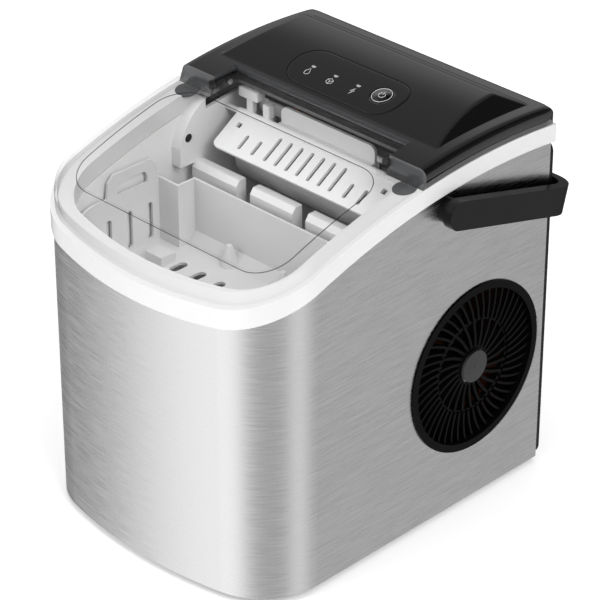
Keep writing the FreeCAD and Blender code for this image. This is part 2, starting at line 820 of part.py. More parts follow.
def controlPanel():
    plate = panelPlate("control_panel", 0, 0, 0)
    holes = [rod("buttonHole", buttonRadius + 0.25, 30, (buttonX, panelY, domeAt(panelY) - 15))]
    for x, name in zip(lampXs, lampNames):
        holes.append(rod(name + "LampHole", lampRadius + 0.1, 30, (x, panelY, domeAt(panelY) - 15)))
    node(cut("controlPanel", plate, holes), "control_panel")
    for x, name in zip(lampXs, lampNames):
        lens = rod(name + "Lens", lampRadius, panelThick - 0.3, (x, panelY, domeAt(panelY) - panelThick + 0.5))
        node(lens, name + "_lamp")
    owner = body("power_button")
    stem = 4
    points = [
        (0, -6), (stem, -6), (stem, -panelThick - 0.4), (buttonRadius, -panelThick - 0.4),
        (buttonRadius, 0.2), (buttonRadius - 0.5, 0.6), (0, 0.6),
    ]
    revolve(owner, "buttonTurn", points)
    put(owner, buttonX, panelY, domeAt(panelY))
    node(owner, "power_button")


def lid():
    """The lid is solid between two arches, hollowed from below by a smaller solid of the same kind."""
    outer = lidSolid("lidOuter", 0, lidTopRise, collarHeight + moveGap, 0)
    inner = lidSolid("lidInner", lidWall, lidTopRise - lidWall, -20, lidEarWidth)
    sunk = body("lidSunk")
    plan = outline(sketch(sunk, "lidSunkPlan", "XY_Plane", lowZ), rounded(
        lidStepSide - half, frontY + lidStepFront, half - lidStepSide, backY - lidStepRear, lidStepCorner))
    feature(sunk, "Pad", "lidSunkBlock", plan, bodyHeight + 60)
    trim(sunk, "lidSunkUnder", belowCrown(lidTopRise - lidStep))
    shell = cut("lidShellCut", outer, [inner, sunk])
    ears = []
    holes = []
    for name, way in sides:
        start = armInner - 1 - lidEarWidth if way > 0 else 1 - armInner
        ears.append(rod("lidEar" + name, lidEarRadius, lidEarWidth, (start, lidPinY, lidPinZ), "X"))
        at = (start - 2, lidPinY, lidPinZ)
        holes.append(rod("lidBore" + name, lidPinRadius + pinGap, lidEarWidth + 4, at, "X"))
    whole = fuse("lidWithEars", [shell] + ears)
    tailRound = box(
        "lidTailTrim", (-armInner, lidPinY + lidEarRadius + 0.5, lowZ), (armInner, farBack, lidPinZ - 2)
    )
    return node(cut("lidBored", whole, holes + [tailRound]), "lid")


def lidSolid(name, inset, over, under, ear):
    owner = body(name)
    shoulder = backY - armReach - lidShoulder - inset
    plan = outline(sketch(owner, name + "Plan", "XY_Plane", lowZ), bowed(-lidInset - inset, shoulder))
    feature(owner, "Pad", name + "Front", plan, bodyHeight + 60)
    wide = armInner - 1 - ear
    tail = outline(
        sketch(owner, name + "TailPlan", "XY_Plane", lowZ),
        rectangle(-wide, shoulder - 10, wide, backY - lidTail - inset),
    )
    feature(owner, "Pad", name + "Tail", tail, bodyHeight + 60)
    trim(owner, name + "Over", aboveCrown(over))
    trim(owner, name + "Under", belowCrown(under))
    return owner


def lidPins():
    for name, way in sides:
        start = armInner - 1 - lidEarWidth if way > 0 else -armInner - 7
        length = lidEarWidth + 8
        pin = rod("lidPin" + name, lidPinRadius, length, (start, lidPinY, lidPinZ), "X")
        node(pin, "lid_pin_" + name.lower())


# ---- handle ----
def handle():
    """Square-section bail: two arms and a bar, drooping to rest behind the back."""
    owner = body("handle")
    inner = half + handleClear
    outer = inner + handleArm
    droop = math.radians(num(handleDroop))
    cosine = Size(math.cos(droop), "cos(%s)" % text(handleDroop))
    sine = Size(math.sin(droop), "sin(%s)" % text(handleDroop))
    reach = (handlePinSetback + handleReach - handleDepth / 2 * sine) / cosine
    inside = reach - handleBar
    bend = handleCorner - handleArm
    plan = sketch(owner, "handlePlan", "XY_Plane", -handleDepth / 2)
    outline(plan, [
        (-inner, 0), (-outer, 0), (-outer, reach - handleCorner, handleCorner, -1),
        (handleCorner - outer, reach), (outer - handleCorner, reach, handleCorner, -1),
        (outer, reach - handleCorner), (outer, 0), (inner, 0),
        (inner, inside - bend, bend, 1), (inner - bend, inside),
        (bend - inner, inside, bend, 1), (-inner, inside - bend),
    ])
    feature(owner, "Pad", "handleBail", plan, handleDepth)
    for name, way in sides:
        start = outer if way > 0 else -inner
        end = circle(sketch(owner, "armEnd" + name, "YZ_Plane", start), 0, 0, handleDepth / 2)
        feature(owner, "Pad", "armRound" + name, end, handleArm, True)
    bores = circle(sketch(owner, "armBores", "YZ_Plane", outer - 2), 0, 0, handlePinRadius + pinGap)
    feature(owner, "Pocket", "armBore", bores, outer * 2 - 4)
    put(owner, 0, handleY, handleZ, axis=(1, 0, 0), angle=-handleDroop)
    return node(owner, "handle")


def handlePivots():
    """Shouldered studs through the steel that the handle's arms turn on."""
    for name, way in sides:
        owner = body("handle_pivot_" + name.lower())
        tip = handleClear + handleArm - 2.3
        head = handlePinRadius + 1
        points = [
            (0, -8), (head, -8), (head, -sheetWall - fitGap), (handlePinRadius, -sheetWall - fitGap),
            (handlePinRadius, fitGap), (handleDisc, fitGap), (handleDisc, handleClear - 0.5),
            (handlePinRadius, handleClear - 0.5), (handlePinRadius, tip), (0, tip),
        ]
        revolve(owner, "pivotTurn" + name, points)
        put(owner, way * half, handleY, handleZ, axis=(0, 1, 0), angle=90 * way)
        node(owner, "handle_pivot_" + name.lower())


# ---- fan side ----
def fanGrille():
    """Round guard with curved fins: a few long ones from the hub and a short one between each pair."""
    owner = body("fan_grille")
    ring = sketch(owner, "grilleRing", "XY_Plane", -grilleDepth)
    circle(ring, 0, 0, grilleRadius - 2 - fitGap)
    circle(ring, 0, 0, grilleRadius - 5.5)
    feature(owner, "Pad", "grilleRim", ring, grilleDepth)
    flange = sketch(owner, "grilleFlange", "XY_Plane", fitGap)
    circle(flange, 0, 0, grilleRadius)
    circle(flange, 0, 0, grilleRadius - 5.5)
    feature(owner, "Pad", "grilleLip", flange, grilleProud)
    bridge = sketch(owner, "grilleBridge", "XY_Plane", -1)
    circle(bridge, 0, 0, grilleRadius - 3)
    circle(bridge, 0, 0, grilleRadius - 5.5)
    feature(owner, "Pad", "grilleJoin", bridge, 1.5)
    hub = circle(sketch(owner, "grilleHub", "XY_Plane", -grilleDepth), 0, 0, hubRadius + 1.5)
    feature(owner, "Pad", "grilleBoss", hub, 4)
    mid = grilleRadius * 0.55
    middle = sketch(owner, "grilleMiddle", "XY_Plane", -grilleDepth)
    circle(middle, 0, 0, mid + 1.2)
    circle(middle, 0, 0, mid - 1.2)
    feature(owner, "Pad", "grilleBand", middle, 3.5)
    lean = 9
    edge = grilleRadius - 5
    fin = outline(sketch(owner, "finPlan", "XY_Plane", -grilleDepth), [
        (hubRadius, 0, grilleRadius, 1), (mid, lean),
        (mid, lean + finWidth, grilleRadius, -1), (hubRadius, finWidth),
    ])
    inner = feature(owner, "Pad", "innerFin", fin, 4)
    doc.recompute()
    around(owner, "innerFins", inner, 24)
    outerFin = outline(sketch(owner, "outerFinPlan", "XY_Plane", -grilleDepth), [
        (mid, 0, grilleRadius, 1), (edge, lean),
        (edge, lean + finWidth * 0.8, grilleRadius, -1), (mid, finWidth * 0.8),
    ])
    outer = feature(owner, "Pad", "outerFin", outerFin, 5)
    doc.recompute()
    around(owner, "outerFins", outer, 48)
    put(owner, half, fanY, fanZ, axis=(0, 1, 0), angle=90)
    return node(owner, "fan_grille")


def hubCap():
    owner = body("grille_hub_cap")
    points = [(0, 0), (hubRadius, 0), (hubRadius, 1.4), (hubRadius - 1, 2.4), (0, 2.8)]
    revolve(owner, "capTurn", points)
    put(owner, half - grilleDepth + 4 + 0.05, fanY, fanZ, axis=(0, 1, 0), angle=90)
    return node(owner, "grille_hub_cap")


fanFace = half - grilleDepth - 4


def fanParts():
    """Square fan housing, the motor on its struts and the turning blades."""
    side = fanFrameSide / 2
    inner = fanFace - fanFrameDepth
    owner = body("fan_frame")
    plan = outline(sketch(owner, "framePlan", "XY_Plane"), rounded(-side, -side, side, side, 6))
    circle(plan, 0, 0, fanRadius + 2.5)
    feature(owner, "Pad", "frameRing", plan, fanFrameDepth)
    strut = outline(sketch(owner, "strutPlan", "XY_Plane"), rectangle(motorRadius - 2, -2, fanRadius + 4, 2))
    arm = feature(owner, "Pad", "strut", strut, 3)
    doc.recompute()
    around(owner, "struts", arm, 4)
    seat = circle(sketch(owner, "motorSeat", "XY_Plane"), 0, 0, motorRadius)
    feature(owner, "Pad", "motorPlate", seat, 3)
    put(owner, inner, fanY, fanZ, axis=(0, 1, 0), angle=90)
    node(owner, "fan_frame")
    shaft = rod("fanShaft", 1.5, 16, (inner + 3 + fitGap, fanY, fanZ), "X")
    can = rod("fanCan", motorRadius - 3, 9, (inner + 3 + fitGap, fanY, fanZ), "X")
    node(fuse("fanMotor", [shaft, can]), "fan_motor")
    owner = body("fan_impeller")
    cup = circle(sketch(owner, "hubCup", "XY_Plane", 4.5), 0, 0, motorRadius + 1)
    feature(owner, "Pad", "hubBlock", cup, fanFrameDepth - 6)
    bowl = circle(sketch(owner, "hubBowl", "XY_Plane", 4.5), 0, 0, motorRadius - 1.5)
    feature(owner, "Pocket", "hubInside", bowl, 11, True)
    bore = circle(sketch(owner, "hubBore", "XY_Plane", 4.5), 0, 0, 1.5 + pinGap)
    feature(owner, "Pocket", "hubHole", bore, fanFrameDepth, True)
    blade = outline(sketch(owner, "bladePlan", "XZ_Plane", -(fanRadius - 4)), [
        (-11, 6), (-9, 6), (11, 19), (9, 19),
    ])
    vane = owner.newObject("PartDesign::AdditiveLoft", "blade")
    rootPlan = sketch(owner, "bladeRoot", "XZ_Plane", -motorRadius)
    outline(rootPlan, [(-6, 6), (-4, 6), (6, 19), (4, 19)])
    vane.Profile = rootPlan
    vane.Sections = [blade]
    vane.Ruled = True
    doc.recompute()
    around(owner, "blades", vane, 7)
    put(owner, inner, fanY, fanZ, axis=(0, 1, 0), angle=90)
    node(owner, "fan_impeller")


motorRadius = 19
finBlockX = half - 61
finBlockThick = 18


def condenser():
    """Finned block with a copper coil in front of it, blown through by the fan."""
    deep = fanFrameSide / 2
    owner = body("condenser_fins")
    plan = outline(sketch(owner, "finBlockPlan", "YZ_Plane", finBlockX), rectangle(
        fanY - deep, fanZ - deep, fanY + deep, fanZ + deep))
    feature(owner, "Pad", "finBlock", plan, finBlockThick, True)
    gap = outline(sketch(owner, "finGapPlan", "YZ_Plane", finBlockX), rectangle(
        fanY - deep - 1, fanZ - deep + 2, fanY + deep + 1, fanZ - deep + 4.2))
    groove = feature(owner, "Pocket", "finGap", gap, finBlockThick - 2)
    doc.recompute()
    repeat(owner, "finGaps", groove, (gap, ["V_Axis"]), fanFrameSide / 32, 31)
    node(owner, "condenser_fins")
    x = finBlockX + pipeRadius + fitGap
    bend = 9
    rowsUp = 6
    step = (fanFrameSide - 22) / (rowsUp - 1)
    low, high = fanY - deep + 12, fanY + deep - 12
    points = [(x, fanY + deep - 4, fanZ - deep + 11)]
    for i in range(rowsUp):
        z = fanZ - deep + 11 + step * i
        ends = (low, high) if i % 2 == 0 else (high, low)
        points.append((x, ends[0], z))
        if i < rowsUp - 1:
            points.append((x, ends[0], z + step))
    pipe("condenser_coil", points, pipeRadius, bend - 2)


# ---- wet side ----
def innerLiner():
    """White tub: a deep basin at the front, a freezing chamber behind it, ridge blocks and cheeks."""
    owner = body("inner_liner")
    out = -(rimWidth - 2)
    inside = out - linerWall
    basinBack = backY - basinRear + linerWall
    top = peakZ + 5
    plan = outline(sketch(owner, "basinPlan", "XY_Plane", lowZ + basinFloor), bowed(out, basinBack))
    feature(owner, "Pad", "basinBlock", plan, top - lowZ - basinFloor)
    wide = chamberHalf + linerWall
    chamber = outline(
        sketch(owner, "chamberPlan", "XY_Plane", lowZ + chamberFloor),
        rectangle(-wide, basinBack - 5, wide, backY - chamberRear + linerWall),
    )
    feature(owner, "Pad", "chamberBlock", chamber, top - lowZ - chamberFloor)
    hollow = outline(sketch(owner, "basinHollow", "XY_Plane", top + 1), bowed(inside, backY - basinRear))
    feature(owner, "Pocket", "basinInside", hollow, top + 1 - lowZ - basinFloor - linerWall)
    room = outline(
        sketch(owner, "chamberHollow", "XY_Plane", top + 1),
        rectangle(-chamberHalf, basinBack, chamberHalf, backY - chamberRear),
    )
    feature(owner, "Pocket", "chamberInside", room, top + 1 - lowZ - chamberFloor - linerWall)
    over = outline(
        sketch(owner, "weirCut", "XY_Plane", top + 1),
        rectangle(-chamberHalf, backY - basinRear - 1, chamberHalf, basinBack + 1),
    )
    feature(owner, "Pocket", "weirOpening", over, top + 1 - lowZ - weirTop)
    trim(owner, "linerTop", aboveCrown(-fitGap))
    y1 = backY - basinRear + linerWall
    ridge = [
        (y1 - ridgeThick, lowZ + weirTop - 12), (y1, lowZ + weirTop - 12), (y1, lowZ + ridgeTop),
        (y1 - ridgeThick + 3, lowZ + ridgeTop), (y1 - ridgeThick, lowZ + ridgeTop - 4),
    ]
    for i, (x0, x1) in enumerate(ridgeSpans):
        profile = outline(sketch(owner, "ridgePlan%d" % i, "YZ_Plane", x1), ridge)
        feature(owner, "Pad", "ridge%d" % i, profile, x1 - x0, True)
    cheekTop = backY - basinRear + 6
    cheek = [
        (backY - cheekFront, lowZ + cheekFoot), (y1 + 1, lowZ + cheekFoot), (y1 + 1, crownAt(cheekTop) - 1),
        (cheekTop, crownAt(cheekTop) - 1), (cheekTop, crownAt(cheekTop, collarHeight) - 6, 42, 1),
        (backY - cheekFront, lowZ + cheekFoot + 14),
    ]
    wallX = half + inside + 0.5
    for name, way in sides:
        start = wallX if way > 0 else -chamberHalf
        profile = outline(sketch(owner, "cheekPlan" + name, "YZ_Plane", start), cheek)
        feature(owner, "Pad", "cheek" + name, profile, wallX - chamberHalf, True)
        edge = wallX if way > 0 else ledgeWidth - wallX
        ledge = outline(sketch(owner, "ledgePlan" + name, "YZ_Plane", edge), rectangle(
            cornerY, lowZ + basketFloor - 8, backY - basketRear - 4, lowZ + basketFloor - fitGap))
        feature(owner, "Pad", "ledge" + name, ledge, ledgeWidth, True)
    shafts = circle(sketch(owner, "trayHoles", "YZ_Plane", clearOut), trayY, trayZ, trayPinRadius)
    feature(owner, "Pocket", "trayBores", shafts, clearOut * 2)
    pins = circle(sketch(owner, "shovelHoles", "YZ_Plane", clearOut), shovelY, shovelZ, shovelPinRadius)
    feature(owner, "Pocket", "shovelBores", pins, clearOut * 2)
    eyes = circle(sketch(owner, "eyeHoles", "YZ_Plane", half - 5), eyeY, eyeZ, eyeRadius)
    feature(owner, "Pocket", "eyeBores", eyes, bodyWidth - 10)
    drain = circle(sketch(owner, "drainHole", "YZ_Plane", 30 - half), drainY, drainZ, spoutRadius + fitGap)
    feature(owner, "Pocket", "drainBore", drain, 40)
    return node(owner, "inner_liner")


eyeY = backY - 142
eyeZ = lowZ + 227
eyeRadius = 3.2
ridgeSpans = [(-chamberHalf - 1, -46), (-33, 7), (19, 59), (72, chamberHalf + 1)]


def iceBasket():
    """Lift-out basket: slotted walls and floor, a grip flap on the left, stepped rear corners."""
    owner = body("ice_basket")
    out = -(rimWidth - 2) - linerWall - basketGap
    inside = out - basketWall
    low = lowZ + basketFloor
    rear = backY - basketRear
    plan = outline(sketch(owner, "basketPlan", "XY_Plane", low), bowed(out, rear))
    feature(owner, "Pad", "basketBlock", plan, basketRim - low)
    x = half + out
    step = x - basketNotch - 4
    corners = sketch(owner, "cornerPlan", "XY_Plane", basketRim + 1)
    outline(corners, rectangle(step, rear - basketNotch, x + 1, rear + 1))
    outline(corners, rectangle(-x - 1, rear - basketNotch, -step, rear + 1))
    feature(owner, "Pocket", "cornerSteps", corners, basketRim + 1 - low + 1)
    rearIn = rear - basketWall
    far = half + inside
    reach = rear - basketNotch - basketWall
    main = outline(sketch(owner, "basketHollow", "XY_Plane", basketRim), bowed(inside, reach))
    feature(owner, "Pocket", "basketInside", main, basketRim - low - basketWall)
    bay = outline(sketch(owner, "rearHollow", "XY_Plane", basketRim), rectangle(
        basketWall - step, reach - 1, step - basketWall, rearIn))
    feature(owner, "Pocket", "rearInside", bay, basketRim - low - basketWall)
    floorZ = low + basketWall
    ramp = outline(sketch(owner, "rampPlan", "YZ_Plane", step - 1), [
        (rearIn + 0.5, floorZ - 0.5), (rearIn + 0.5, floorZ + 8), (rearIn, floorZ + 8), (rearIn - 9, floorZ - 0.5),
    ])
    feature(owner, "Pad", "footRamp", ramp, step * 2 - 2, True)
    flap = outline(sketch(owner, "flapPlan", "YZ_Plane", -x), [
        (rear - 64, basketRim - 6), (rear - 17, basketRim - 6), (rear - 19, basketRim + gripRise - 5),
        (rear - 24, basketRim + gripRise), (rear - 57, basketRim + gripRise), (rear - 62, basketRim + gripRise - 5),
    ])
    outline(flap, rounded(rear - 54, basketRim - 3, rear - 27, basketRim + 9, 5))
    feature(owner, "Pad", "flap", flap, basketWall)
    for name, start, reverse in (("left", -x - 2, True), ("right", x + 2, False)):
        slots = sketch(owner, name + "SlotPlan", "YZ_Plane", start)
        for i in range(3):
            y = rear - 28 - 18.5 * i
            outline(slots, slot(y, floorZ + 3, y + 5, basketRim - 16))
        feature(owner, "Pocket", name + "Slots", slots, 8, reverse)
    for name, near, away in (("rearRow", 28, 42), ("frontRow", 54, 84)):
        row = sketch(owner, name + "Plan", "XY_Plane", low + 6)
        outline(row, slot(-basketPitch * 3 - 3.4, rear - away, 3.4 - basketPitch * 3, rear - near))
        gap = feature(owner, "Pocket", name + "Slot", row, 10)
        doc.recompute()
        repeat(owner, name + "Slots", gap, (row, ["H_Axis"]), basketPitch, 7)
    block = box("stopBlock", (-78, rear - 44, floorZ - 1), (-62, rear - 31, floorZ + 7))
    cones = []
    for i, coneX in enumerate((-33, 18)):
        cone = body("cone%d" % i)
        revolve(cone, "coneTurn%d" % i, [(0, -1), (7, -1), (7, 0), (2, 15), (0, 15)])
        cones.append(put(cone, coneX, rearIn - 7, floorZ))
    return node(fuse("iceBasket", [owner, block] + cones), "ice_basket")


def waterTray():
    """Half-round trough that tips its water away when the ice is ready, with stub shafts."""
    owner = body("water_tray")
    edge = trayRadius - trayWall
    outer = outline(sketch(owner, "trayEnds", "XY_Plane", -trayHalf), [
        (-trayRadius, 0, "half", 1), (trayRadius, 0),
    ])
    feature(owner, "Pad", "trayBlock", outer, trayHalf * 2)
    inner = outline(sketch(owner, "trayRoom", "XY_Plane", trayHalf - trayWall), [
        (-edge, 1), (-edge, 0, "half", 1), (edge, 0), (edge, 1),
    ])
    feature(owner, "Pocket", "trayInside", inner, (trayHalf - trayWall) * 2)
    stub = chamberHalf + linerWall + fitGap
    for name, way in sides:
        start = way * (trayHalf - trayWall)
        stubPlan = circle(sketch(owner, "stub" + name, "XY_Plane", start), 0, 0, trayPinRadius - pinGap)
        feature(owner, "Pad", "stubShaft" + name, stubPlan, stub - trayHalf + trayWall + 4, way < 0)
    put(owner, 0, trayY, trayZ, axis=(1, 1, 1), angle=120)
    return node(owner, "water_tray")


def trayMotor():
    """Slow geared motor at the right that tips the tray, with a socket for the stub shaft."""
    start = chamberHalf + linerWall + 0.5
    can = rod("motorCan", 22, 15, (start, trayY, trayZ), "X")
    socket = rod("motorSocket", trayPinRadius, 10, (start - 1, trayY, trayZ), "X")
    return node(cut("trayMotor", can, [socket]), "tray_motor")


barHeight = 10


def evaporator():
    """Copper bar cooled by the refrigerant with a row of plated fingers that dip into the tray."""
    low = trayZ + trayRadius + 3
    reach = fingerPitch * 4 + 8
    bar = box("coldBar", (-reach, trayY - 6, low), (reach, trayY + 6, low + barHeight))
    node(bar, "evaporator_bar")
    fingers = []
    for i in range(-4, 5):
        thing = doc.addObject("Part::Cylinder", "finger%d" % (i + 5))
        bind(thing, "Radius", fingerRadius)
        bind(thing, "Height", fingerLength)
        fingers.append(put(thing, fingerPitch * i, trayY, low - fingerLength))
    group = doc.addObject("Part::Compound", "fingers")
    group.Links = fingers
    node(group, "evaporator_fingers")


def shovelPlate():
    """Slotted plate that sweeps the ice forward, drawn flat with its pins on the X axis."""
    owner = body("ice_shovel")
    plan = outline(
        sketch(owner, "shovelPlan", "XY_Plane", -shovelThick / 2),
        rounded(-shovelHalf, -shovelLength, shovelHalf, 1, 5),
    )
    feature(owner, "Pad", "shovelPlate", plan, shovelThick)
    first = outline(
        sketch(owner, "longSlotPlan", "XY_Plane", 4),
        slot(-shovelPitch * 3 - shovelSlot / 2, -shovelLength + 5, shovelSlot / 2 - shovelPitch * 3, -6))
    long = feature(owner, "Pocket", "longSlot", first, 8)
    doc.recompute()
    repeat(owner, "longSlots", long, (first, ["H_Axis"]), shovelPitch, 7)
    short = sketch(owner, "shortSlotPlan", "XY_Plane", 4)
    for x in (-56, -43.5, 41.5, 54):
        outline(short, slot(x, -shovelLength + 5, x + shovelSlot, -14))
    for x in (-69, 65):
        outline(short, rectangle(x, -12, x + 4, -8))
    feature(owner, "Pocket", "shortSlots", short, 8)
    return owner


flapHalf = 43
flapRise = 13
flapSetback = 7


def iceShovel():
    """The plate with the rod it swings on and an upright flap behind."""
    plate = shovelPlate()
    length = (chamberHalf + linerWall) * 2 - 2
    pins = rod("shovelRod", shovelPinRadius - pinGap, length, (-chamberHalf - linerWall + 1, 0, 0), "X")
    sleeve = rod("shovelSleeve", 3, shovelHalf * 2, (-shovelHalf, 0, 0), "X")
    blade = fuse("shovelBlade", [plate, pins, sleeve])
    put(blade, 0, shovelY, shovelZ, axis=(1, 0, 0), angle=shovelTilt)
    y = shovelY + flapSetback
    flap = body("shovelFlap")
    z0 = shovelZ - 2
    z1 = shovelZ + flapRise
    face = outline(sketch(flap, "flapFace", "XZ_Plane", -y - 2.2), [
        (-flapHalf, z0), (flapHalf, z0), (flapHalf, z1 - 5, 5, 1), (flapHalf - 5, z1), (5 - flapHalf, z1, 5, 1),
        (-flapHalf, z1 - 5),
    ])
    feature(flap, "Pad", "flapPad", face, 2.2)
    stem = box("flapRoot", (-flapHalf, shovelY + 1, shovelZ - 1.2), (flapHalf, y + 1, shovelZ + 1.2))
    whole = fuse("shovelWhole", [blade, flap, stem])
    return node(whole, "ice_shovel")


# ---- machine side ----
compressorX = -(half - compressorRadius - 16)
compressorY = backY - compressorRadius - 16
compressorFoot = lowZ + panFloor + 10


def compressor():
    owner = body("compressor")
    tall = compressorHeight
    wide = compressorRadius
    points = [
        (0, 0), (wide - 14, 0, 14, 1), (wide, 14), (wide, tall / 2), (wide + 2, tall / 2),
        (wide + 2, tall / 2 + 4), (wide, tall / 2 + 4), (wide, tall - 20, 20, 1),
        (wide - 20, tall), (0, tall),
    ]
    revolve(owner, "canTurn", points)
    foot = outline(sketch(owner, "footPlate", "XY_Plane"), rectangle(-wide, -12, wide, 12))
    feature(owner, "Pad", "mountPlate", foot, 3)
    put(owner, compressorX, compressorY, compressorFoot)
    node(owner, "compressor")
    studs = []
    for i, way in enumerate((-1, 1)):
        studs.append(rod("grommet%d" % i, 6, 10 - 0.2, (
            compressorX + way * (compressorRadius - 8), compressorY, lowZ + panFloor + 0.1)))
    group = doc.addObject("Part::Compound", "grommets")
    group.Links = studs
    node(group, "compressor_grommets")


def coldPipes():
    """Pipes between compressor, condenser, dryer and evaporator."""
    topZ = compressorFoot + compressorHeight
    barTop = trayZ + trayRadius + 3 + barHeight
    coilX = finBlockX + pipeRadius + fitGap
    deep = fanFrameSide / 2
    x0 = compressorX + 12
    over = peakZ + 8
    pipe("suction_pipe", [
        (x0, compressorY, topZ + 0.2), (x0, compressorY, topZ + 16), (x0, backY - 36, topZ + 16),
        (x0, backY - 36, over), (x0, trayY, over), (x0, trayY, barTop + 0.2),
    ], pipeRadius, 6)
    x1 = x0 + 20
    y1 = backY - rearThick - 8
    low = fanZ - deep + 11
    pipe("discharge_pipe", [
        (x1, compressorY, topZ + 0.2), (x1, compressorY, topZ + 12), (x1, y1, topZ + 12),
        (coilX, y1, topZ + 12), (coilX, y1, low), (coilX, fanY + deep - 3.8, low),
    ], pipeRadius, 4)
    dryer = rod("dryerCan", 8, 60, (finBlockX - finBlockThick - 14, backY - 22, lowZ + 40))
    node(dryer, "filter_dryer")


def waterParts():
    """Pump on the pan, the hose that feeds the tray, and the drain spout with its plug."""
    pumpX = half - 62
    pumpY = backY - 150
    floor = lowZ + panFloor + 0.1
    base = rod("pumpCan", 17, 34, (pumpX, pumpY, floor))
    neck = rod("pumpNeck", 6, 10, (pumpX, pumpY, floor + 34))
    node(fuse("waterPump", [base, neck]), "water_pump")
    x = pumpX - 36
    y = backY - basinRear + linerWall + hoseRadius + 2
    floorZ = lowZ + chamberFloor
    pipe("water_hose", [
        (pumpX - 17.2, pumpY, floor + 12), (x, pumpY, floor + 12), (x, y, floor + 12),
        (x, y, floorZ - 16), (x, y + 18, floorZ - 16), (x, y + 18, floorZ - 0.2),
    ], hoseRadius, 8, hoseRadius - 1.5)
    start = -(half + 2)
    inner = -(half - rimWidth) - linerWall
    tube = rod("spoutTube", drainRadius + 2, rimWidth + 4, (start, drainY, drainZ), "X")
    bore = rod("spoutBore", drainRadius, rimWidth + 8, (start - 2, drainY, drainZ), "X")
    node(cut("drainSpout", tube, [bore]), "drain_spout")
    shank = rod("plugShank", drainRadius - 0.05, 10, (start - fitGap, drainY, drainZ), "X")
    head = rod("plugHead", drainRadius + 3, 3, (start - 3 - fitGap, drainY, drainZ), "X")
    node(fuse("drainPlug", [shank, head]), "drain_plug")


def electrics():
    """Display board under the panel, main board at the back, ice sensors in the cheeks."""
    z = domeAt(panelY) - 12
    board = box("displayBoard", (-46, panelY - 12, z - 1.6), (46, panelY + 15, z))
    switch = box("tactSwitch", (buttonX - 3, panelY - 3, z), (buttonX + 3, panelY + 3, z + 4.6))
    node(fuse("displayPair", [board, switch]), "display_board")
    low = lowZ + 150
    x = compressorX
    y = backY - rearThick - 22
    main = box("mainBoard", (x - 43, y, low), (x + 43, y + 1.6, low + 60))
    relay = box("relay", (x - 27, y - 16, low + 10), (x - 7, y, low + 24))
    cap = rod("capacitor", 8, 18, (x - 17, y - 18, low + 42), "Y")
    node(fuse("boardPair", [main, relay, cap]), "control_board")
    for name, way in sides:
        start = chamberHalf + 0.4 if way > 0 else -chamberHalf - 0.4 - 6
        node(rod("eye" + name, eyeRadius - 0.1, 6, (start, eyeY, eyeZ), "X"), "ice_sensor_" + name.lower())


def screws():
    """Pan-head screws: eight hold the rear panel, four close the pan from below."""
    groups = {"rear_screws": [], "base_screws": []}
    high = crownAt(backY) - 14
    for i, (x, z) in enumerate(
        [(side * (half - 14), z) for side in (-1, 1) for z in (lowZ + 16, lowZ + 90, lowZ + 160, high)]
    ):
        head = rod("rearHead%d" % i, 3.5, 2, (x, backY + 0.05, z), "Y")
        groups["rear_screws"].append(head)
    for i, (way, y) in enumerate([(way, y) for way in (-1, 1) for y in (frontY + 30, backY - 14)]):
        head = rod("baseHead%d" % i, 3.5, 2, (way * (half - 60), y, lowZ - 2.05))
        groups["base_screws"].append(head)
    for label, heads in groups.items():
        group = doc.addObject("Part::Compound", label + "Group")
        group.Links = heads
        node(group, label)


steelShell()
topCollar()
rimCaps()
rearPanel()
cordGland()
basePan()
feet()
topCover()
controlPanel()
lid()
lidPins()
handle()
handlePivots()
fanGrille()
hubCap()
fanParts()
condenser()
innerLiner()
iceBasket()
waterTray()
trayMotor()
evaporator()
iceShovel()
compressor()
coldPipes()
waterParts()
electrics()
screws()
doc.recompute()

broken = [thing.Label for thing in doc.Objects if "Invalid" in thing.State or "Error" in thing.State]
if broken:
    raise RuntimeError("did not build: " + ", ".join(broken))
for thing in placed:
    if thing.Shape.isNull() or not thing.Shape.isValid():
        raise RuntimeError("%s has no valid shape" % thing.Label)

os.makedirs("parts", exist_ok=True)
for thing in placed:
    thing.Shape.exportStep("parts/%s.step" % thing.Label)
    print(thing.Label, len(thing.Shape.Solids), round(thing.Shape.Volume / 1000, 2))
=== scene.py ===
import json
import math

import bmesh
import bpy
from mathutils import Matrix, Vector


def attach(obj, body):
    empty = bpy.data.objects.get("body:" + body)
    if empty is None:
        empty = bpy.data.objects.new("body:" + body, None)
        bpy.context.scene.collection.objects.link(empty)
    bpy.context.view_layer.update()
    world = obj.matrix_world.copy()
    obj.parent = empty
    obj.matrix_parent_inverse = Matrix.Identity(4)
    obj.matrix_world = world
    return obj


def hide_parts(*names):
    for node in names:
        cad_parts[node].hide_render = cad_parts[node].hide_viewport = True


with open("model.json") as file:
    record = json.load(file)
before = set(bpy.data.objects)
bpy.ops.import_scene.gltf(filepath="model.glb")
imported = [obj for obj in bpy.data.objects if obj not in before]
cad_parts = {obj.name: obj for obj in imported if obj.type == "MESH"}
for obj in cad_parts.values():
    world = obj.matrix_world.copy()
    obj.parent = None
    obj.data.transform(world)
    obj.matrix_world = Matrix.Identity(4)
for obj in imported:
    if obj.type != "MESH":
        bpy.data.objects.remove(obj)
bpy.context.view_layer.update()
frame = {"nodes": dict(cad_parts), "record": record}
nodes = frame["nodes"]
mm = 0.001


def hexColour(code):  # sRGB hex to linear
    parts = [int(code[i:i + 2], 16) / 255 for i in (1, 3, 5)]
    linear = [c / 12.92 if c <= 0.04045 else ((c + 0.055) / 1.055) ** 2.4 for c in parts]
    return (*linear, 1.0)


def addNode(material, kind, inputs=None, links=None, **settings):
    tree = material.node_tree
    node = tree.nodes.new(kind)
    for name, value in settings.items():
        setattr(node, name, value)
    for name, value in (inputs or {}).items():
        node.inputs[name].default_value = value
    for name, source in (links or {}).items():
        tree.links.new(source, node.inputs[name])
    return node


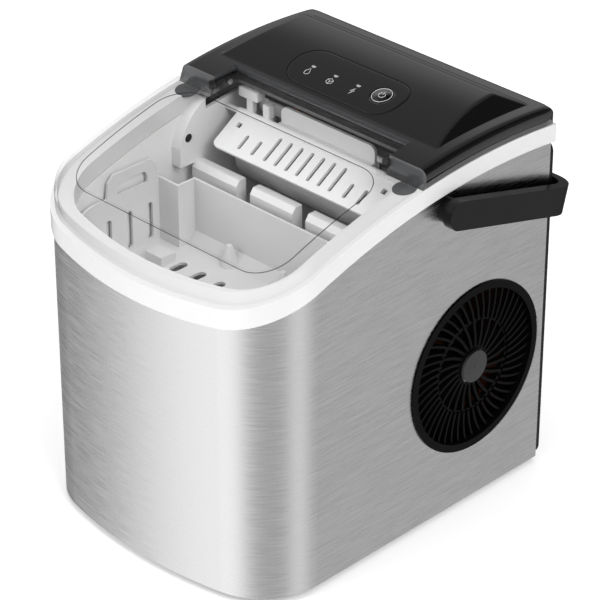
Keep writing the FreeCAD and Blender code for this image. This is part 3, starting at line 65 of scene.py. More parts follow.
def startMaterial(name, colour, **values):
    material = bpy.data.materials.new(name)
    material.use_nodes = True
    material.node_tree.nodes.clear()
    shader = addNode(material, "ShaderNodeBsdfPrincipled")
    shader.inputs["Base Color"].default_value = hexColour(colour)
    for socket, value in values.items():
        shader.inputs[socket.replace("_", " ")].default_value = value
    addNode(material, "ShaderNodeOutputMaterial", links={"Surface": shader.outputs[0]})
    place = addNode(material, "ShaderNodeTexCoord").outputs["Object"]
    return material, shader, place


def feed(material, shader, **sources):
    # links each output to the shader's socket of that name
    for socket, source in sources.items():
        material.node_tree.links.new(source, shader.inputs[socket.replace("_", " ")])


def vary(material, place, size, low, high, detail=3.0, stretch=(1, 1, 1)):
    # noise with blobs of the given size in metres: first spread over low to high, then as it comes
    scale = [part / size for part in stretch]
    moved = addNode(material, "ShaderNodeMapping", {"Scale": scale}, {"Vector": place})
    noise = addNode(material, "ShaderNodeTexNoise", {"Scale": 1.0, "Detail": detail},
                    {"Vector": moved.outputs[0]})
    spread = addNode(material, "ShaderNodeMapRange",
                     {"From Min": 0.3, "From Max": 0.7, "To Min": low, "To Max": high},
                     {"Value": noise.outputs[0]})
    return spread.outputs[0], noise.outputs[0]


def mixColours(material, factor, first, second):
    mix = addNode(material, "ShaderNodeMix", None, {0: factor}, data_type="RGBA")
    mix.inputs[6].default_value = hexColour(first)
    mix.inputs[7].default_value = hexColour(second)
    return mix.outputs[2]


def addBump(material, shader, height, depth, strength):
    bump = addNode(material, "ShaderNodeBump", {"Distance": depth, "Strength": strength}, {"Height": height})
    feed(material, shader, Normal=bump.outputs[0])


# ---- materials: what each thing is made of and how its surface was made

def brushedStainless():
    # 304 stainless sheet, brushed along its length: streaks lie level, highlights stretch up and down
    # real grit lines are about 0.1 mm apart, drawn coarser so that they show
    brush = {"streak": 24 * mm, "line": 0.8 * mm, "fine": 0.45 * mm, "dull": 0.36, "clear": 0.24}
    material, shader, place = startMaterial("brushed stainless sheet", "#C3C3C3", Metallic=1.0,
                                            Roughness=0.3, Anisotropic=0.75)
    along = (brush["line"] / brush["streak"], brush["line"] / brush["streak"], 1)
    rough, wide = vary(material, place, brush["line"], brush["clear"], brush["dull"], 2.0, along)
    fine = vary(material, place, brush["fine"], 0.0, 1.0, 2.0, along)[0]
    tone = mixColours(material, wide, "#C6C6C6", "#E4E4E4")
    level = addNode(material, "ShaderNodeTangent", direction_type="RADIAL", axis="Z")
    feed(material, shader, Base_Color=tone, Roughness=rough, Tangent=level.outputs[0])
    addBump(material, shader, fine, 0.02 * mm, 0.5)
    return material


def mouldedGloss(name, colour, rough=0.1, coat=0.0, wave=6 * mm):
    # injection moulded ABS from a polished tool: sharp reflections with a faint waviness
    material, shader, place = startMaterial(name, colour, Roughness=rough, IOR=1.53, Coat_Weight=coat,
                                            Coat_Roughness=0.04)
    feed(material, shader, Roughness=vary(material, place, 40 * mm, rough * 0.8, rough * 1.3)[0])
    wavy = vary(material, place, wave, 0.0, 1.0, 1.0)[0]
    addBump(material, shader, wavy, 0.02 * mm, 0.25)
    return material


def mouldedSatin(name, colour, second, rough=0.42, grain=0.9 * mm, depth=0.05 * mm, ior=1.5):
    # injection moulded polypropylene or ABS from a spark-eroded tool: soft sheen over a fine grain
    material, shader, place = startMaterial(name, colour, Roughness=rough, IOR=ior)
    spread, noise = vary(material, place, 30 * mm, rough - 0.06, rough + 0.06)
    feed(material, shader, Base_Color=mixColours(material, noise, colour, second), Roughness=spread)
    fine = vary(material, place, grain, 0.0, 1.0, 2.0)[0]
    addBump(material, shader, fine, depth, 0.35)
    return material


def clearStyrene(name="clear moulded SAN", face="#FFFFFF", edge="#9A9A9A"):
    # styrene acrylonitrile, moulded 2 mm thick: nearly invisible faces, grey where seen along the sheet
    material = bpy.data.materials.new(name)
    material.use_nodes = True
    material.node_tree.nodes.clear()
    place = addNode(material, "ShaderNodeTexCoord").outputs["Object"]
    turned = addNode(material, "ShaderNodeLayerWeight", {"Blend": 0.5}).outputs["Facing"]
    facing = addNode(material, "ShaderNodeMath", {1: 3.0}, {0: turned}, operation="POWER").outputs[0]
    tint = mixColours(material, facing, face, edge)
    through = addNode(material, "ShaderNodeBsdfTransparent", None, {"Color": tint})
    rough = vary(material, place, 60 * mm, 0.02, 0.06)[0]
    gloss = addNode(material, "ShaderNodeBsdfGlossy", None, {"Roughness": rough})
    glance = addNode(material, "ShaderNodeMapRange", {"To Min": 0.012, "To Max": 0.35}, {"Value": facing})
    mixed = addNode(material, "ShaderNodeMixShader", None,
                    {0: glance.outputs[0], 1: through.outputs[0], 2: gloss.outputs[0]})
    addNode(material, "ShaderNodeOutputMaterial", None, {"Surface": mixed.outputs[0]})
    return material


def metal(name, colour, second, rough, grain=3 * mm):
    # drawn or stamped metal with a mottled oxide tone
    material, shader, place = startMaterial(name, colour, Metallic=1.0, Roughness=rough)
    spread, noise = vary(material, place, grain, rough * 0.8, rough * 1.25)
    feed(material, shader, Base_Color=mixColours(material, noise, colour, second), Roughness=spread)
    return material


def finStock():
    # copper-lacquered fins pressed on the coil: upright edges a couple of millimetres apart, with painted
    # shade in the dark gaps between them and a painted glow
    fin = {"pitch": 2.2 * mm, "depth": 0.6 * mm, "glow": 1.0}
    waveRate = 20  # radians of wave that the node puts in one unit
    material, shader, place = startMaterial("lacquered fin stock with painted shade and glow", "#9A5D48", Metallic=0.2, Roughness=0.5)
    turn = addNode(material, "ShaderNodeMapping", {"Scale": (0, math.tau / fin["pitch"] / waveRate, 0)},
                   {"Vector": place})
    wave = addNode(material, "ShaderNodeTexWave", {"Scale": 1.0, "Distortion": 0.0},
                   {"Vector": turn.outputs[0]}, bands_direction="Y", wave_profile="SIN")
    # painted shade: the dark stripes are the shaded gaps between the fins, the light ones the fins' faces
    tone = mixColours(material, wave.outputs[1], "#5A2C20", "#E0906E")
    feed(material, shader, Base_Color=tone, Emission_Color=tone)
    shader.inputs["Emission Strength"].default_value = fin["glow"]  # painted light: the fins glow to stand in for light bounced inside the fin block
    addBump(material, shader, wave.outputs[1], fin["depth"], 1.0)
    return material


steel = brushedStainless()
whiteGloss = mouldedGloss("white polished ABS", "#DADADA", rough=0.14, coat=0.2)
whiteSatin = mouldedSatin("white satin ABS", "#EFEFEF", "#EAEAEA", 0.36, grain=1.2 * mm, depth=0.02 * mm)
greyWhite = mouldedSatin("natural satin polypropylene", "#DEDEDE", "#D9D9D9", 0.4, grain=1.2 * mm,
                         depth=0.02 * mm)
pianoBlack = mouldedGloss("black polished ABS", "#0C0C0D", rough=0.07, coat=0.6)
blackSatin = mouldedSatin("black grained polypropylene", "#080808", "#0C0C0C", 0.3, ior=1.36)
smokedGrey = mouldedGloss("smoke grey polished ABS", "#4A4B4D", rough=0.1, coat=0.5)
grilleBlack = mouldedSatin("black polypropylene", "#050505", "#080808", 0.35, ior=1.16)
rubber = mouldedSatin("moulded rubber", "#1B1B1C", "#242425", 0.7, grain=0.8 * mm)
clearLid = clearStyrene()
smokedLid = clearStyrene("smoked SAN", "#B4B4B4", "#6A6A6A")
plainSteel = metal("turned steel", "#B9BABB", "#A4A5A7", 0.28)
copper = metal("drawn copper", "#B4694A", "#8C4A33", 0.3)
plated = metal("nickel plate", "#D2D2D2", "#C0C0C0", 0.14)
aluminium = metal("pressed aluminium", "#C4C5C6", "#B2B3B5", 0.35)
finCopperPaintedLight = finStock()
blackEnamel = mouldedGloss("black stoved enamel", "#101011", rough=0.3, coat=0.3)
greyTank = mouldedSatin("grey water tray", "#C8C8C8", "#C2C2C2", 0.45)
boardGreen = mouldedSatin("solder-masked fibreglass", "#1D4B2C", "#1A4327", 0.3)
hoseVinyl = mouldedSatin("vinyl hose", "#C9CCCC", "#BEC1C1", 0.35)
whiteInk = mouldedSatin("white print", "#D8D8D8", "#CFCFCF", 0.5)
lampLens = mouldedGloss("frosted lamp lens", "#A8A8A8", rough=0.3)
sensorLens = mouldedGloss("dark sensor lens", "#15151A", rough=0.12)
seamBlack = mouldedSatin("shadowed seam", "#050505", "#070707", 0.6)

finishes = {
    "steel_sheet": steel, "white_band": whiteGloss, "white_tub": whiteSatin, "black_gloss": pianoBlack,
    "black_satin": blackSatin, "dark_cap": smokedGrey, "clear_lid": clearLid, "rubber_foot": rubber,
    "pin_steel": plainSteel, "coil_copper": copper, "fin_aluminium": finCopperPaintedLight, "plated_fingers": plated,
    "compressor_paint": blackEnamel, "motor_can": aluminium, "board": boardGreen, "hose": hoseVinyl,
    "lamp_lens": lampLens, "sensor_lens": sensorLens,
}
for part in frame["record"]["subparts"]:
    for slot in nodes[part["node"]].material_slots:
        slot.material = finishes[part["material_slot"]]
for name, other in (("water_tray", greyTank), ("ice_basket", greyWhite), ("fan_grille", grilleBlack)):
    nodes[name].material_slots[0].material = other
print("materials done:", len(bpy.data.materials))


# ---- shared shapes, worked in millimetres

crown = {"radius": 498.0, "peakY": 76.4, "peakZ": 253.7}  # arch of the body's upper edge, seen from the side


def crownZ(y, rise=0.0):
    reach = crown["radius"]
    return crown["peakZ"] + rise - reach + math.sqrt(reach ** 2 - (y - crown["peakY"]) ** 2)


def softMin(a, b, blend):
    near = max(blend - abs(a - b), 0.0) / blend
    return min(a, b) - near * near * blend / 4


def roundedCorner(x, y, centreX, centreY):
    # a square corner beyond the centre is drawn in until it is round
    dx, dy = abs(x) - centreX, abs(y) - centreY
    if dx <= 0 or dy <= 0:
        return x, y
    squeeze = max(dx, dy) / math.hypot(dx, dy)
    return math.copysign(centreX + dx * squeeze, x), math.copysign(centreY + dy * squeeze, y)


def cornerArcs(half, low, high, radius):
    # the four corners of a rounded rectangle in plan, in turn from the rear right one
    arcs = []
    for side, y, quarter in ((1, high - radius, 0), (-1, high - radius, 1),
                             (-1, low + radius, 2), (1, low + radius, 3)):
        angles = [math.pi / 2 * (quarter + i / 8) for i in range(9)]
        arcs.append([(side * (half - radius) + radius * math.cos(a), y + radius * math.sin(a))
                     for a in angles])
    return arcs


def faceUpwards(mesh):
    bmesh.ops.recalc_face_normals(mesh, faces=mesh.faces)
    if sum(face.normal.z for face in mesh.faces) < 0:
        bmesh.ops.reverse_faces(mesh, faces=mesh.faces)


def bar(mesh, low, high):
    # upright box between two corners
    spot = [(a + b) / 2 for a, b in zip(low, high)]
    size = Matrix.Diagonal([b - a for a, b in zip(low, high)]).to_4x4()
    bmesh.ops.create_cube(mesh, size=1.0, matrix=Matrix.Translation(spot) @ size)


def finishPiece(name, mesh, materials, body, hidden=(), sharp=35, bevel=0.0, wall=0.0):
    # a bmesh in millimetres becomes a piece of the object, with sharp edges marked
    bmesh.ops.scale(mesh, vec=(mm, mm, mm), verts=mesh.verts)
    for face in mesh.faces:
        face.smooth = True
    for edge in mesh.edges:
        edge.smooth = edge.calc_face_angle(0.0) < math.radians(sharp)
    data = bpy.data.meshes.new(name)
    mesh.to_mesh(data)
    mesh.free()
    piece = bpy.data.objects.new(name, data)
    bpy.context.collection.objects.link(piece)
    for material in materials:
        data.materials.append(material)
    if wall:
        shell = piece.modifiers.new("wall", "SOLIDIFY")
        shell.thickness = wall * mm
        shell.offset = -1
    if bevel:
        soft = piece.modifiers.new("soft edges", "BEVEL")
        soft.width = bevel * mm
        soft.segments = 2
        soft.limit_method = "ANGLE"
        soft.angle_limit = math.radians(40)
        soft.harden_normals = True
    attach(piece, body)
    if hidden:
        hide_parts(*hidden)


def wires(name, lines, radius, material, body):
    # thin raised lines; lines is a list of (points in mm, closed)
    curve = bpy.data.curves.new(name, "CURVE")
    curve.dimensions = "3D"
    curve.bevel_depth = radius * mm
    curve.bevel_resolution = 1
    for points, closed in lines:
        spline = curve.splines.new("POLY")
        spline.points.add(len(points) - 1)
        for knot, point in zip(spline.points, points):
            knot.co = (*[part * mm for part in point], 1)
        spline.use_cyclic_u = closed
    curve.materials.append(material)
    piece = bpy.data.objects.new(name, curve)
    bpy.context.collection.objects.link(piece)
    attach(piece, body)


# ---- hood: a shell parallel to the crown with a raised block that carries the controls

hood = {"rise": 25.5, "foot": 13.2, "half": 111.8, "round": 5.5, "front": 7.5, "back": 131.6, "corner": 4.0,
        "notchHalf": 80.4, "notchBack": 27.0, "tipFront": 4.5, "cell": 1.5, "wall": 2.2, "steps": 6,
        "domeRadius": 178.0, "crestY": 95.0, "crestZ": 288.9, "domeHalf": 99.0, "domeBack": 119.0,
        "sideSlope": 0.85, "rearSlope": 0.49, "blend": 1.0, "snap": 0.05, "cornerSlack": 0.3}
panel = {"y": 52.0, "long": 97.0, "deep": 36.0, "corner": 16.0, "sink": 1.2, "seatMargin": 2.5,
         "proud": 0.12, "lampPitch": 20.6, "firstLamp": -30.9, "ring": 7.2, "keyGap": 0.25, "keyWell": 1.5}


def hoodTop(x, y):
    base = crownZ(y, hood["rise"])
    reach = hood["domeRadius"]
    arch = hood["crestZ"] - reach + math.sqrt(reach ** 2 - (y - hood["crestY"]) ** 2)
    dome = softMin(arch - base, (hood["domeHalf"] - abs(x)) * hood["sideSlope"], hood["blend"])
    dome = softMin(dome, (hood["domeBack"] - y) * hood["rearSlope"], hood["blend"])
    return base + max(dome, 0.0)


def insidePanel(x, y, margin):
    dx = max(abs(x) - panel["long"] / 2 + panel["corner"], 0.0)
    dy = max(abs(y - panel["y"]) - panel["deep"] / 2 + panel["corner"], 0.0)
    return math.hypot(dx, dy) < panel["corner"] - margin


def lampX(place):  # the lamps are at places 0 to 2 and the button at 3
    return panel["firstLamp"] + place * panel["lampPitch"]


def outwards(x, y):
    # plan direction out of the hood's side and rear edge
    centreX = hood["half"] - hood["round"] - hood["corner"]
    centreY = hood["back"] - hood["round"] - hood["corner"]
    dx = max(abs(x) - centreX, 0.0) * (1 if x > 0 else -1)
    dy = max(y - centreY, 0.0)
    if not (dx or dy):
        return Vector((0.0, 0.0, 0.0))
    way = Vector((dx, dy, 0.0)).normalized()
    return way / max(abs(way.x), abs(way.y))


def hoodGrid(edge, rear):
    # level grid over the hood's plan, cut along its creases, without the notch for the lid
    mesh = bmesh.new()
    deep = rear - hood["front"]
    bmesh.ops.create_grid(mesh, x_segments=int(2 * edge / hood["cell"]),
                          y_segments=int(deep / hood["cell"]), size=1.0)
    for vert in mesh.verts:
        vert.co.x *= edge
        vert.co.y = hood["front"] + (vert.co.y + 1) / 2 * deep
    across, along = (1, 0, 0), (0, 1, 0)
    for place, normal in (((hood["notchHalf"], 0, 0), across), ((-hood["notchHalf"], 0, 0), across),
                          ((0, hood["notchBack"], 0), along), ((0, hood["domeBack"], 0), along),
                          ((hood["domeHalf"], 0, 0), across), ((-hood["domeHalf"], 0, 0), across)):
        bmesh.ops.bisect_plane(mesh, geom=mesh.verts[:] + mesh.edges[:] + mesh.faces[:],
                               dist=hood["snap"], plane_co=place, plane_no=normal)
    gone = [face for face in mesh.faces if abs(face.calc_center_median().x) < hood["notchHalf"]
            and face.calc_center_median().y < hood["notchBack"]]
    bmesh.ops.delete(mesh, geom=gone, context="FACES")
    return mesh


def outerEdges(mesh, edge, centreX, centreY):
    # boundary edges along the hood's sides, rear and rear corners
    found = []
    for line in mesh.edges:
        if not line.is_boundary:
            continue
        spot = (line.verts[0].co + line.verts[1].co) / 2
        reach = math.hypot(max(abs(spot.x) - centreX, 0), max(spot.y - centreY, 0))
        turning = spot.y > centreY and abs(reach - hood["corner"]) < hood["cornerSlack"]
        if abs(spot.x) > edge - hood["snap"] or turning:
            found.append(line)
    return found


def addShoulder(mesh, rim):
    # the rounded shoulder, then the wall down to the foot
    for i in range(1, hood["steps"] + 2):
        grown = bmesh.ops.extrude_edge_only(mesh, edges=rim)["geom"]
        rim = [g for g in grown if isinstance(g, bmesh.types.BMEdge)]
        for vert in {v for e in rim for v in e.verts}:
            if i <= hood["steps"]:
                before, now = (math.pi / 2 * (i - 1) / hood["steps"], math.pi / 2 * i / hood["steps"])
                vert.co += outwards(*vert.co.xy) * hood["round"] * (math.sin(now) - math.sin(before))
                vert.co.z -= hood["round"] * (math.cos(before) - math.cos(now))
            else:
                vert.co.z = crownZ(vert.co.y, hood["foot"])
        rim = [e for e in rim if all(v.is_boundary for v in e.verts)]
    return rim


def addFront(mesh, rim):
    # the arms' ends and inner sides, grey because they sit behind the lid's hinge covers
    front = [e for e in mesh.edges if e.is_boundary and e not in rim]
    grown = bmesh.ops.extrude_edge_only(mesh, edges=front)["geom"]
    for vert in [g for g in grown if isinstance(g, bmesh.types.BMVert)]:
        if abs(vert.co.x) > hood["notchHalf"] - 0.1 and vert.co.y < hood["front"] + 0.1:
            vert.co.y = hood["tipFront"]
        vert.co.z = crownZ(vert.co.y, hood["foot"])
    for face in [g for g in grown if isinstance(g, bmesh.types.BMFace)]:
        face.material_index = 1


def makeHood():
    edge = hood["half"] - hood["round"]
    rear = hood["back"] - hood["round"]
    centreX, centreY = edge - hood["corner"], rear - hood["corner"]
    mesh = hoodGrid(edge, rear)
    for vert in mesh.verts:
        vert.co.x, vert.co.y = roundedCorner(vert.co.x, vert.co.y, centreX, centreY)
        vert.co.z = hoodTop(vert.co.x, vert.co.y)
        if insidePanel(vert.co.x, vert.co.y, panel["seatMargin"]):
            vert.co.z -= panel["sink"]
    addFront(mesh, addShoulder(mesh, outerEdges(mesh, edge, centreX, centreY)))
    key = Vector((lampX(3), panel["y"]))
    under = [face for face in mesh.faces
             if (face.calc_center_median().xy - key).length < panel["ring"] + panel["keyWell"]]
    bmesh.ops.delete(mesh, geom=under, context="FACES")  # the key travels in this opening
    bmesh.ops.remove_doubles(mesh, verts=mesh.verts, dist=0.02)
    faceUpwards(mesh)
    finishPiece("hoodShell", mesh, [pianoBlack, smokedGrey], "frame", ["top_cover"], sharp=30,
                wall=hood["wall"])


def onPanel(x, y, lift=0.0):
    return (x, y, hoodTop(x, y) + panel["proud"] + lift)


def makePanelPlate():
    plate = {"cellsX": 66, "cellsY": 24, "wall": 1.0, "seam": 0.22, "seamLift": -0.02, "near": 0.3, "pull": 3}
    halfLong, halfDeep, corner = panel["long"] / 2, panel["deep"] / 2, panel["corner"]
    mesh = bmesh.new()
    bmesh.ops.create_grid(mesh, x_segments=plate["cellsX"], y_segments=plate["cellsY"], size=1.0)
    for vert in mesh.verts:
        x, y = roundedCorner(vert.co.x * halfLong, vert.co.y * halfDeep, halfLong - corner, halfDeep - corner)
        vert.co = (x, panel["y"] + y, 0)
    button = Vector((lampX(3), panel["y"], 0))
    hole = panel["ring"] + panel["keyGap"]
    gone = [face for face in mesh.faces
            if (face.calc_center_median() - button).length < hole + plate["near"]]
    bmesh.ops.delete(mesh, geom=gone, context="FACES")
    for vert in mesh.verts:
        away = vert.co - button
        if vert.is_boundary and away.length < hole + plate["pull"]:
            vert.co = button + away.normalized() * hole
    for vert in mesh.verts:
        vert.co.z = onPanel(vert.co.x, vert.co.y)[2]
    faceUpwards(mesh)
    finishPiece("panelPlate", mesh, [pianoBlack], "frame", ["control_panel"], sharp=30,
                wall=plate["wall"])
    arcs = cornerArcs(halfLong, panel["y"] - halfDeep, panel["y"] + halfDeep, corner)
    seam = [onPanel(x, y, plate["seamLift"]) for arc in arcs for x, y in arc]
    wires("panelSeam", [(seam, True)], plate["seam"], seamBlack, "frame")


def makeLamps():
    lamp = {"radius": 1.786, "edge": 0.45, "lift": 0.1, "wall": 0.8}
    for i, name in enumerate(("water", "ice", "power")):
        lens = bmesh.new()
        spot = Matrix.Translation(onPanel(lampX(i), panel["y"], lamp["lift"]))
        bmesh.ops.create_circle(lens, cap_ends=True, segments=24, radius=lamp["radius"], matrix=spot)
        ring = bmesh.ops.inset_region(lens, faces=lens.faces[:], thickness=lamp["edge"])["faces"]
        for face in lens.faces:
            face.material_index = 0 if face in ring else 1
        finishPiece(name + "Lens", lens, [whiteInk, lampLens], "frame", [name + "_lamp"],
                    sharp=30, wall=lamp["wall"])


def makeKey():
    key = {"lift": 0.1, "wall": 0.9, "strip": 2, "strips": 3}
    mesh = bmesh.new()
    bmesh.ops.create_circle(mesh, cap_ends=True, segments=64, radius=panel["ring"],
                            matrix=Matrix.Translation((lampX(3), panel["y"], 0)))
    for i in range(-key["strips"], key["strips"] + 1):  # cuts across let the key follow the hood
        bmesh.ops.bisect_plane(mesh, geom=mesh.verts[:] + mesh.edges[:] + mesh.faces[:], dist=0.02,
                               plane_co=(0, panel["y"] + key["strip"] * i, 0), plane_no=(0, 1, 0))
    for vert in mesh.verts:
        vert.co.z = onPanel(vert.co.x, vert.co.y, key["lift"])[2]
    finishPiece("buttonKey", mesh, [pianoBlack], "power_button", ["power_button"], sharp=30,
                wall=key["wall"])


prints = {"arcLift": 0.12, "lineLift": 0.1, "ring": 6.9, "symbol": 2.4, "barFrom": 0.6, "barTo": 3.2,
          "buttonLine": 0.2, "iconLine": 0.17, "below": 6.6, "icon": 1.4}


def panelArc(x, y, radius, start, stop, count):
    angles = [math.radians(start + (stop - start) * i / count) for i in range(count + 1)]
    return [onPanel(x + radius * math.cos(a), y + radius * math.sin(a), prints["arcLift"]) for a in angles]


def panelLine(x, y, steps):
    # a pictogram's line about its own middle
    size = prints["icon"]
    return [onPanel(x + dx * size, y + dy * size, prints["lineLift"]) for dx, dy in steps]


def makePrints():
    x, y, lift = lampX(3), panel["y"], prints["arcLift"]
    ring = panelArc(x, y, prints["ring"], 0, 350, 48)
    symbol = panelArc(x, y, prints["symbol"], 125, 415, 20)
    stroke = [onPanel(x, y + prints["barFrom"], lift), onPanel(x, y + prints["barTo"], lift)]
    wires("buttonPrint", [(ring, True), (symbol, False), (stroke, False)], prints["buttonLine"], whiteInk,
          "power_button")
    low, size = y - prints["below"], prints["icon"]
    water, ice, power = lampX(0), lampX(1), lampX(2)
    drop = (panelArc(water, low - 0.4 * size, 1.4 * size, 150, 390, 14)
            + panelLine(water, low, [(0, 2.6)]))
    cube = panelLine(ice, low, [(-1.7, -0.9), (0, -1.9), (1.7, -0.9), (1.7, 0.9), (0, 1.9), (-1.7, 0.9)])
    fold = panelLine(ice, low, [(-1.7, 0.9), (0, 0), (1.7, 0.9)])
    stem = panelLine(ice, low, [(0, 0), (0, -1.9)])
    bolt = panelLine(power, low, [(0.5, 2.2), (-1.2, -0.2), (0.2, -0.2), (-0.5, -2.2), (1.2, 0.3),
                                  (-0.1, 0.3)])
    wires("panelPrint", [(drop, True), (cube, True), (fold, False), (stem, False), (bolt, True)],
          prints["iconLine"], whiteInk, "frame")


makeHood()
makePanelPlate()
makeLamps()
makeKey()
makePrints()
print("hood and panel done")


# ---- trim: a smoked rail at the lid's hinge line, a line round its sunk middle, lever, grille edge

lidRise = 22.5  # lid's top above the crown


def lidTop(y, lift=0.0):
    return crownZ(y, lidRise + lift)


def makeLidRail():
    rail = {"half": 79.0, "front": 21.4, "back": 25.4, "low": 270.5, "topAt": 23, "proud": 0.15}
    arm = {"x": 79.5, "halfWidth": 2.0, "front": 3.0, "low": 266.5, "topAt": 14}
    mesh = bmesh.new()
    bar(mesh, (-rail["half"], rail["front"], rail["low"]),
        (rail["half"], rail["back"], lidTop(rail["topAt"], rail["proud"])))
    for side in (-1, 1):
        bar(mesh, (side * arm["x"] - arm["halfWidth"], arm["front"], arm["low"]),
            (side * arm["x"] + arm["halfWidth"], rail["back"], lidTop(arm["topAt"], rail["proud"])))
    finishPiece("lidRail", mesh, [smokedLid], "lid", bevel=0.5)


def makeLidStepLine():
    step = {"half": 95.0, "rear": -9.0, "front": -116.0, "corner": 23.0, "line": 0.3, "lift": -0.2,
            "parts": 12}
    rearRight, rearLeft, frontLeft, frontRight = cornerArcs(step["half"], step["front"], step["rear"],
                                                            step["corner"])

    def side(start, end):  # points that let a side follow the arch
        shares = [i / step["parts"] for i in range(1, step["parts"])]
        return [(start[0], start[1] + (end[1] - start[1]) * share) for share in shares]

    plan = (rearRight + rearLeft + side(rearLeft[-1], frontLeft[0])
            + frontLeft + frontRight + side(frontRight[-1], rearRight[0]))
    outline = [(x, y, lidTop(y, step["lift"])) for x, y in plan]
    wires("lidStepLine", [(outline, True)], step["line"], smokedLid, "lid")


def makeLever():
    # white lever and block at the left, behind the shovel
    boxes = {"stem": ((-70.0, 26.5, 244.0), (-64.0, 31.0, 258.0)),
             "cap": ((-76.0, 25.0, 256.0), (-58.0, 33.0, 263.0)),
             "block": ((-55.0, 27.0, 246.0), (-49.0, 33.0, 256.0))}
    mesh = bmesh.new()
    for low, high in boxes.values():
        bar(mesh, low, high)
    finishPiece("tripLever", mesh, [whiteSatin], "frame", bevel=0.8)


def makeGrilleLip():
    # the grille's bright edge where it meets the steel, low at the rear
    lip = {"y": 61.0, "z": 108.0, "x": 112.2, "radius": 61.8, "start": -75, "stop": 12, "parts": 40,
           "line": 0.45}
    swing = lip["stop"] - lip["start"]
    angles = [math.radians(lip["start"] + swing * i / lip["parts"]) for i in range(lip["parts"] + 1)]
    line = [(lip["x"], lip["y"] + lip["radius"] * math.cos(a), lip["z"] + lip["radius"] * math.sin(a))
            for a in angles]
    wires("grilleLip", [(line, False)], lip["line"], plainSteel, "frame")


makeLidRail()
makeLidStepLine()
makeLever()
makeGrilleLip()
print("trim done")


# ---- stage, light, camera

def makeStage():
    stage = {"side": 6.0, "colour": "#FAFAFA", "glow": 0.3}
    mesh = bmesh.new()
    bmesh.ops.create_grid(mesh, x_segments=1, y_segments=1, size=stage["side"])
    data = bpy.data.meshes.new("floor")
    mesh.to_mesh(data)
    mesh.free()
    floor = bpy.data.objects.new("floor", data)
    bpy.context.collection.objects.link(floor)
    floor.visible_glossy = False  # the steel then mirrors the studio walls only
    paper, shader = startMaterial("white paper sweep", stage["colour"], Roughness=0.9,
                                  Emission_Strength=stage["glow"])[:2]
    shader.inputs["Emission Color"].default_value = (1, 1, 1, 1)
    data.materials.append(paper)


def softbox(name, place, aim, width, height, power):
    lamp = bpy.data.lights.new(name, "AREA")
    lamp.shape = "RECTANGLE"
    lamp.size = width
    lamp.size_y = height
    lamp.energy = power
    box = bpy.data.objects.new(name, lamp)
    box.location = place
    box.rotation_euler = (Vector(aim) - Vector(place)).to_track_quat("-Z", "Y").to_euler()
    box.visible_glossy = False
    bpy.context.collection.objects.link(box)


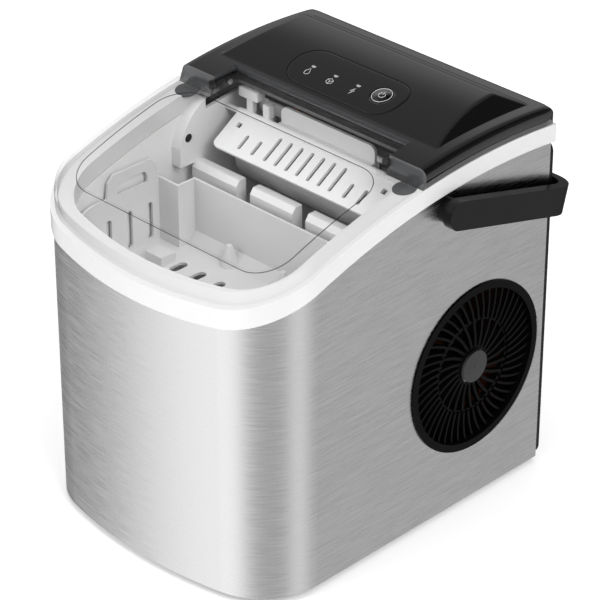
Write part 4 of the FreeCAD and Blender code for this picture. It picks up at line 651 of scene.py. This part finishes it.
def makeWorld():
    # a studio with bright and dark walls: brightness by bearing (degrees, 0 in front, 90 at the right)
    lowWall = [(-180, 0.12), (-125, 0.12), (-112, 0.28), (-80, 0.30), (-66, 0.36), (-56, 0.55), (-46, 0.95),
               (-36, 1.3), (-15, 1.45), (10, 1.4), (24, 0.75), (40, 0.5), (80, 0.5), (95, 1.1), (108, 1.1),
               (122, 0.55), (135, 0.52), (179, 0.12)]
    highWall = [(-180, 0.4), (-135, 0.48), (-110, 0.4), (-85, 0.35), (-66, 0.4), (-50, 0.8), (-30, 1.2),
                (5, 1.2), (24, 0.5), (45, 0.35), (80, 0.35), (98, 0.6), (112, 0.35), (125, 0.08), (165, 0.06),
                (179, 0.3)]
    overhead = [(-180, 0.2), (-135, 0.22), (-109, 0.24), (-60, 0.33), (60, 0.2), (115, 0.03), (165, 0.03),
                (179, 0.15)]
    # heights of the two blends, as the sine of elevation
    lowToHigh, highToOverhead = (0.05, 0.3), (0.42, 0.66)
    world = bpy.data.worlds.new("studio")
    bpy.context.scene.world = world
    world.use_nodes = True
    back = world.node_tree.nodes["Background"]
    place = addNode(world, "ShaderNodeTexCoord").outputs["Generated"]
    parts = addNode(world, "ShaderNodeSeparateXYZ", None, {"Vector": place})
    front = addNode(world, "ShaderNodeMath", {1: -1.0}, {0: parts.outputs[1]}, operation="MULTIPLY")
    bearing = addNode(world, "ShaderNodeMath", None, {0: parts.outputs[0], 1: front.outputs[0]},
                      operation="ARCTAN2")
    turn = addNode(world, "ShaderNodeMapRange", {"From Min": -math.pi, "From Max": math.pi},
                   {"Value": bearing.outputs[0]})

    def wall(stops):
        ramp = addNode(world, "ShaderNodeValToRGB", None, {"Fac": turn.outputs[0]})
        ramp.color_ramp.interpolation = "EASE"
        elements = ramp.color_ramp.elements
        elements.remove(elements[1])
        for angle, value in stops:
            element = elements[0] if angle == stops[0][0] else elements.new((angle + 180) / 360)
            element.color = (value, value, value, 1)
        return ramp.outputs[0]

    def blended(span, below, above):
        rise = addNode(world, "ShaderNodeMapRange", {"From Min": span[0], "From Max": span[1]},
                       {"Value": parts.outputs[2]}, interpolation_type="SMOOTHSTEP")
        return addNode(world, "ShaderNodeMix", None, {0: rise.outputs[0], 6: below, 7: above},
                       data_type="RGBA").outputs[2]

    low, high, above = wall(lowWall), wall(highWall), wall(overhead)
    walls = blended(lowToHigh, low, high)
    world.node_tree.links.new(blended(highToOverhead, walls, above), back.inputs[0])
    back.inputs[1].default_value = 1.0


def makeLight():
    middle = (0, 0, 0.15)
    softbox("front", (-0.9, -1.8, 1.3), middle, width=1.2, height=1.2, power=19)
    softbox("top", (0.1, 0.1, 2.2), middle, width=2.0, height=2.0, power=21)
    softbox("right", (1.9, -0.4, 1.7), middle, width=1.4, height=1.4, power=34)


def makeCamera():
    view = {"place": (1.17167, -1.16589, 1.10344), "aim": (0.0205, -0.013, 0.15228), "lens": 171.17}
    data = bpy.data.cameras.new("camera")
    data.lens = view["lens"]
    data.sensor_width = 36
    camera = bpy.data.objects.new("camera", data)
    camera.location = view["place"]
    gaze = Vector(view["aim"]) - Vector(view["place"])
    camera.rotation_euler = gaze.to_track_quat("-Z", "Y").to_euler()
    bpy.context.collection.objects.link(camera)
    bpy.context.scene.camera = camera


makeStage()
makeWorld()
makeLight()
makeCamera()
nodes["lid"].visible_shadow = False  # light passes the clear lid
bpy.context.scene.view_settings.view_transform = "Standard"
print("stage, light and camera done")
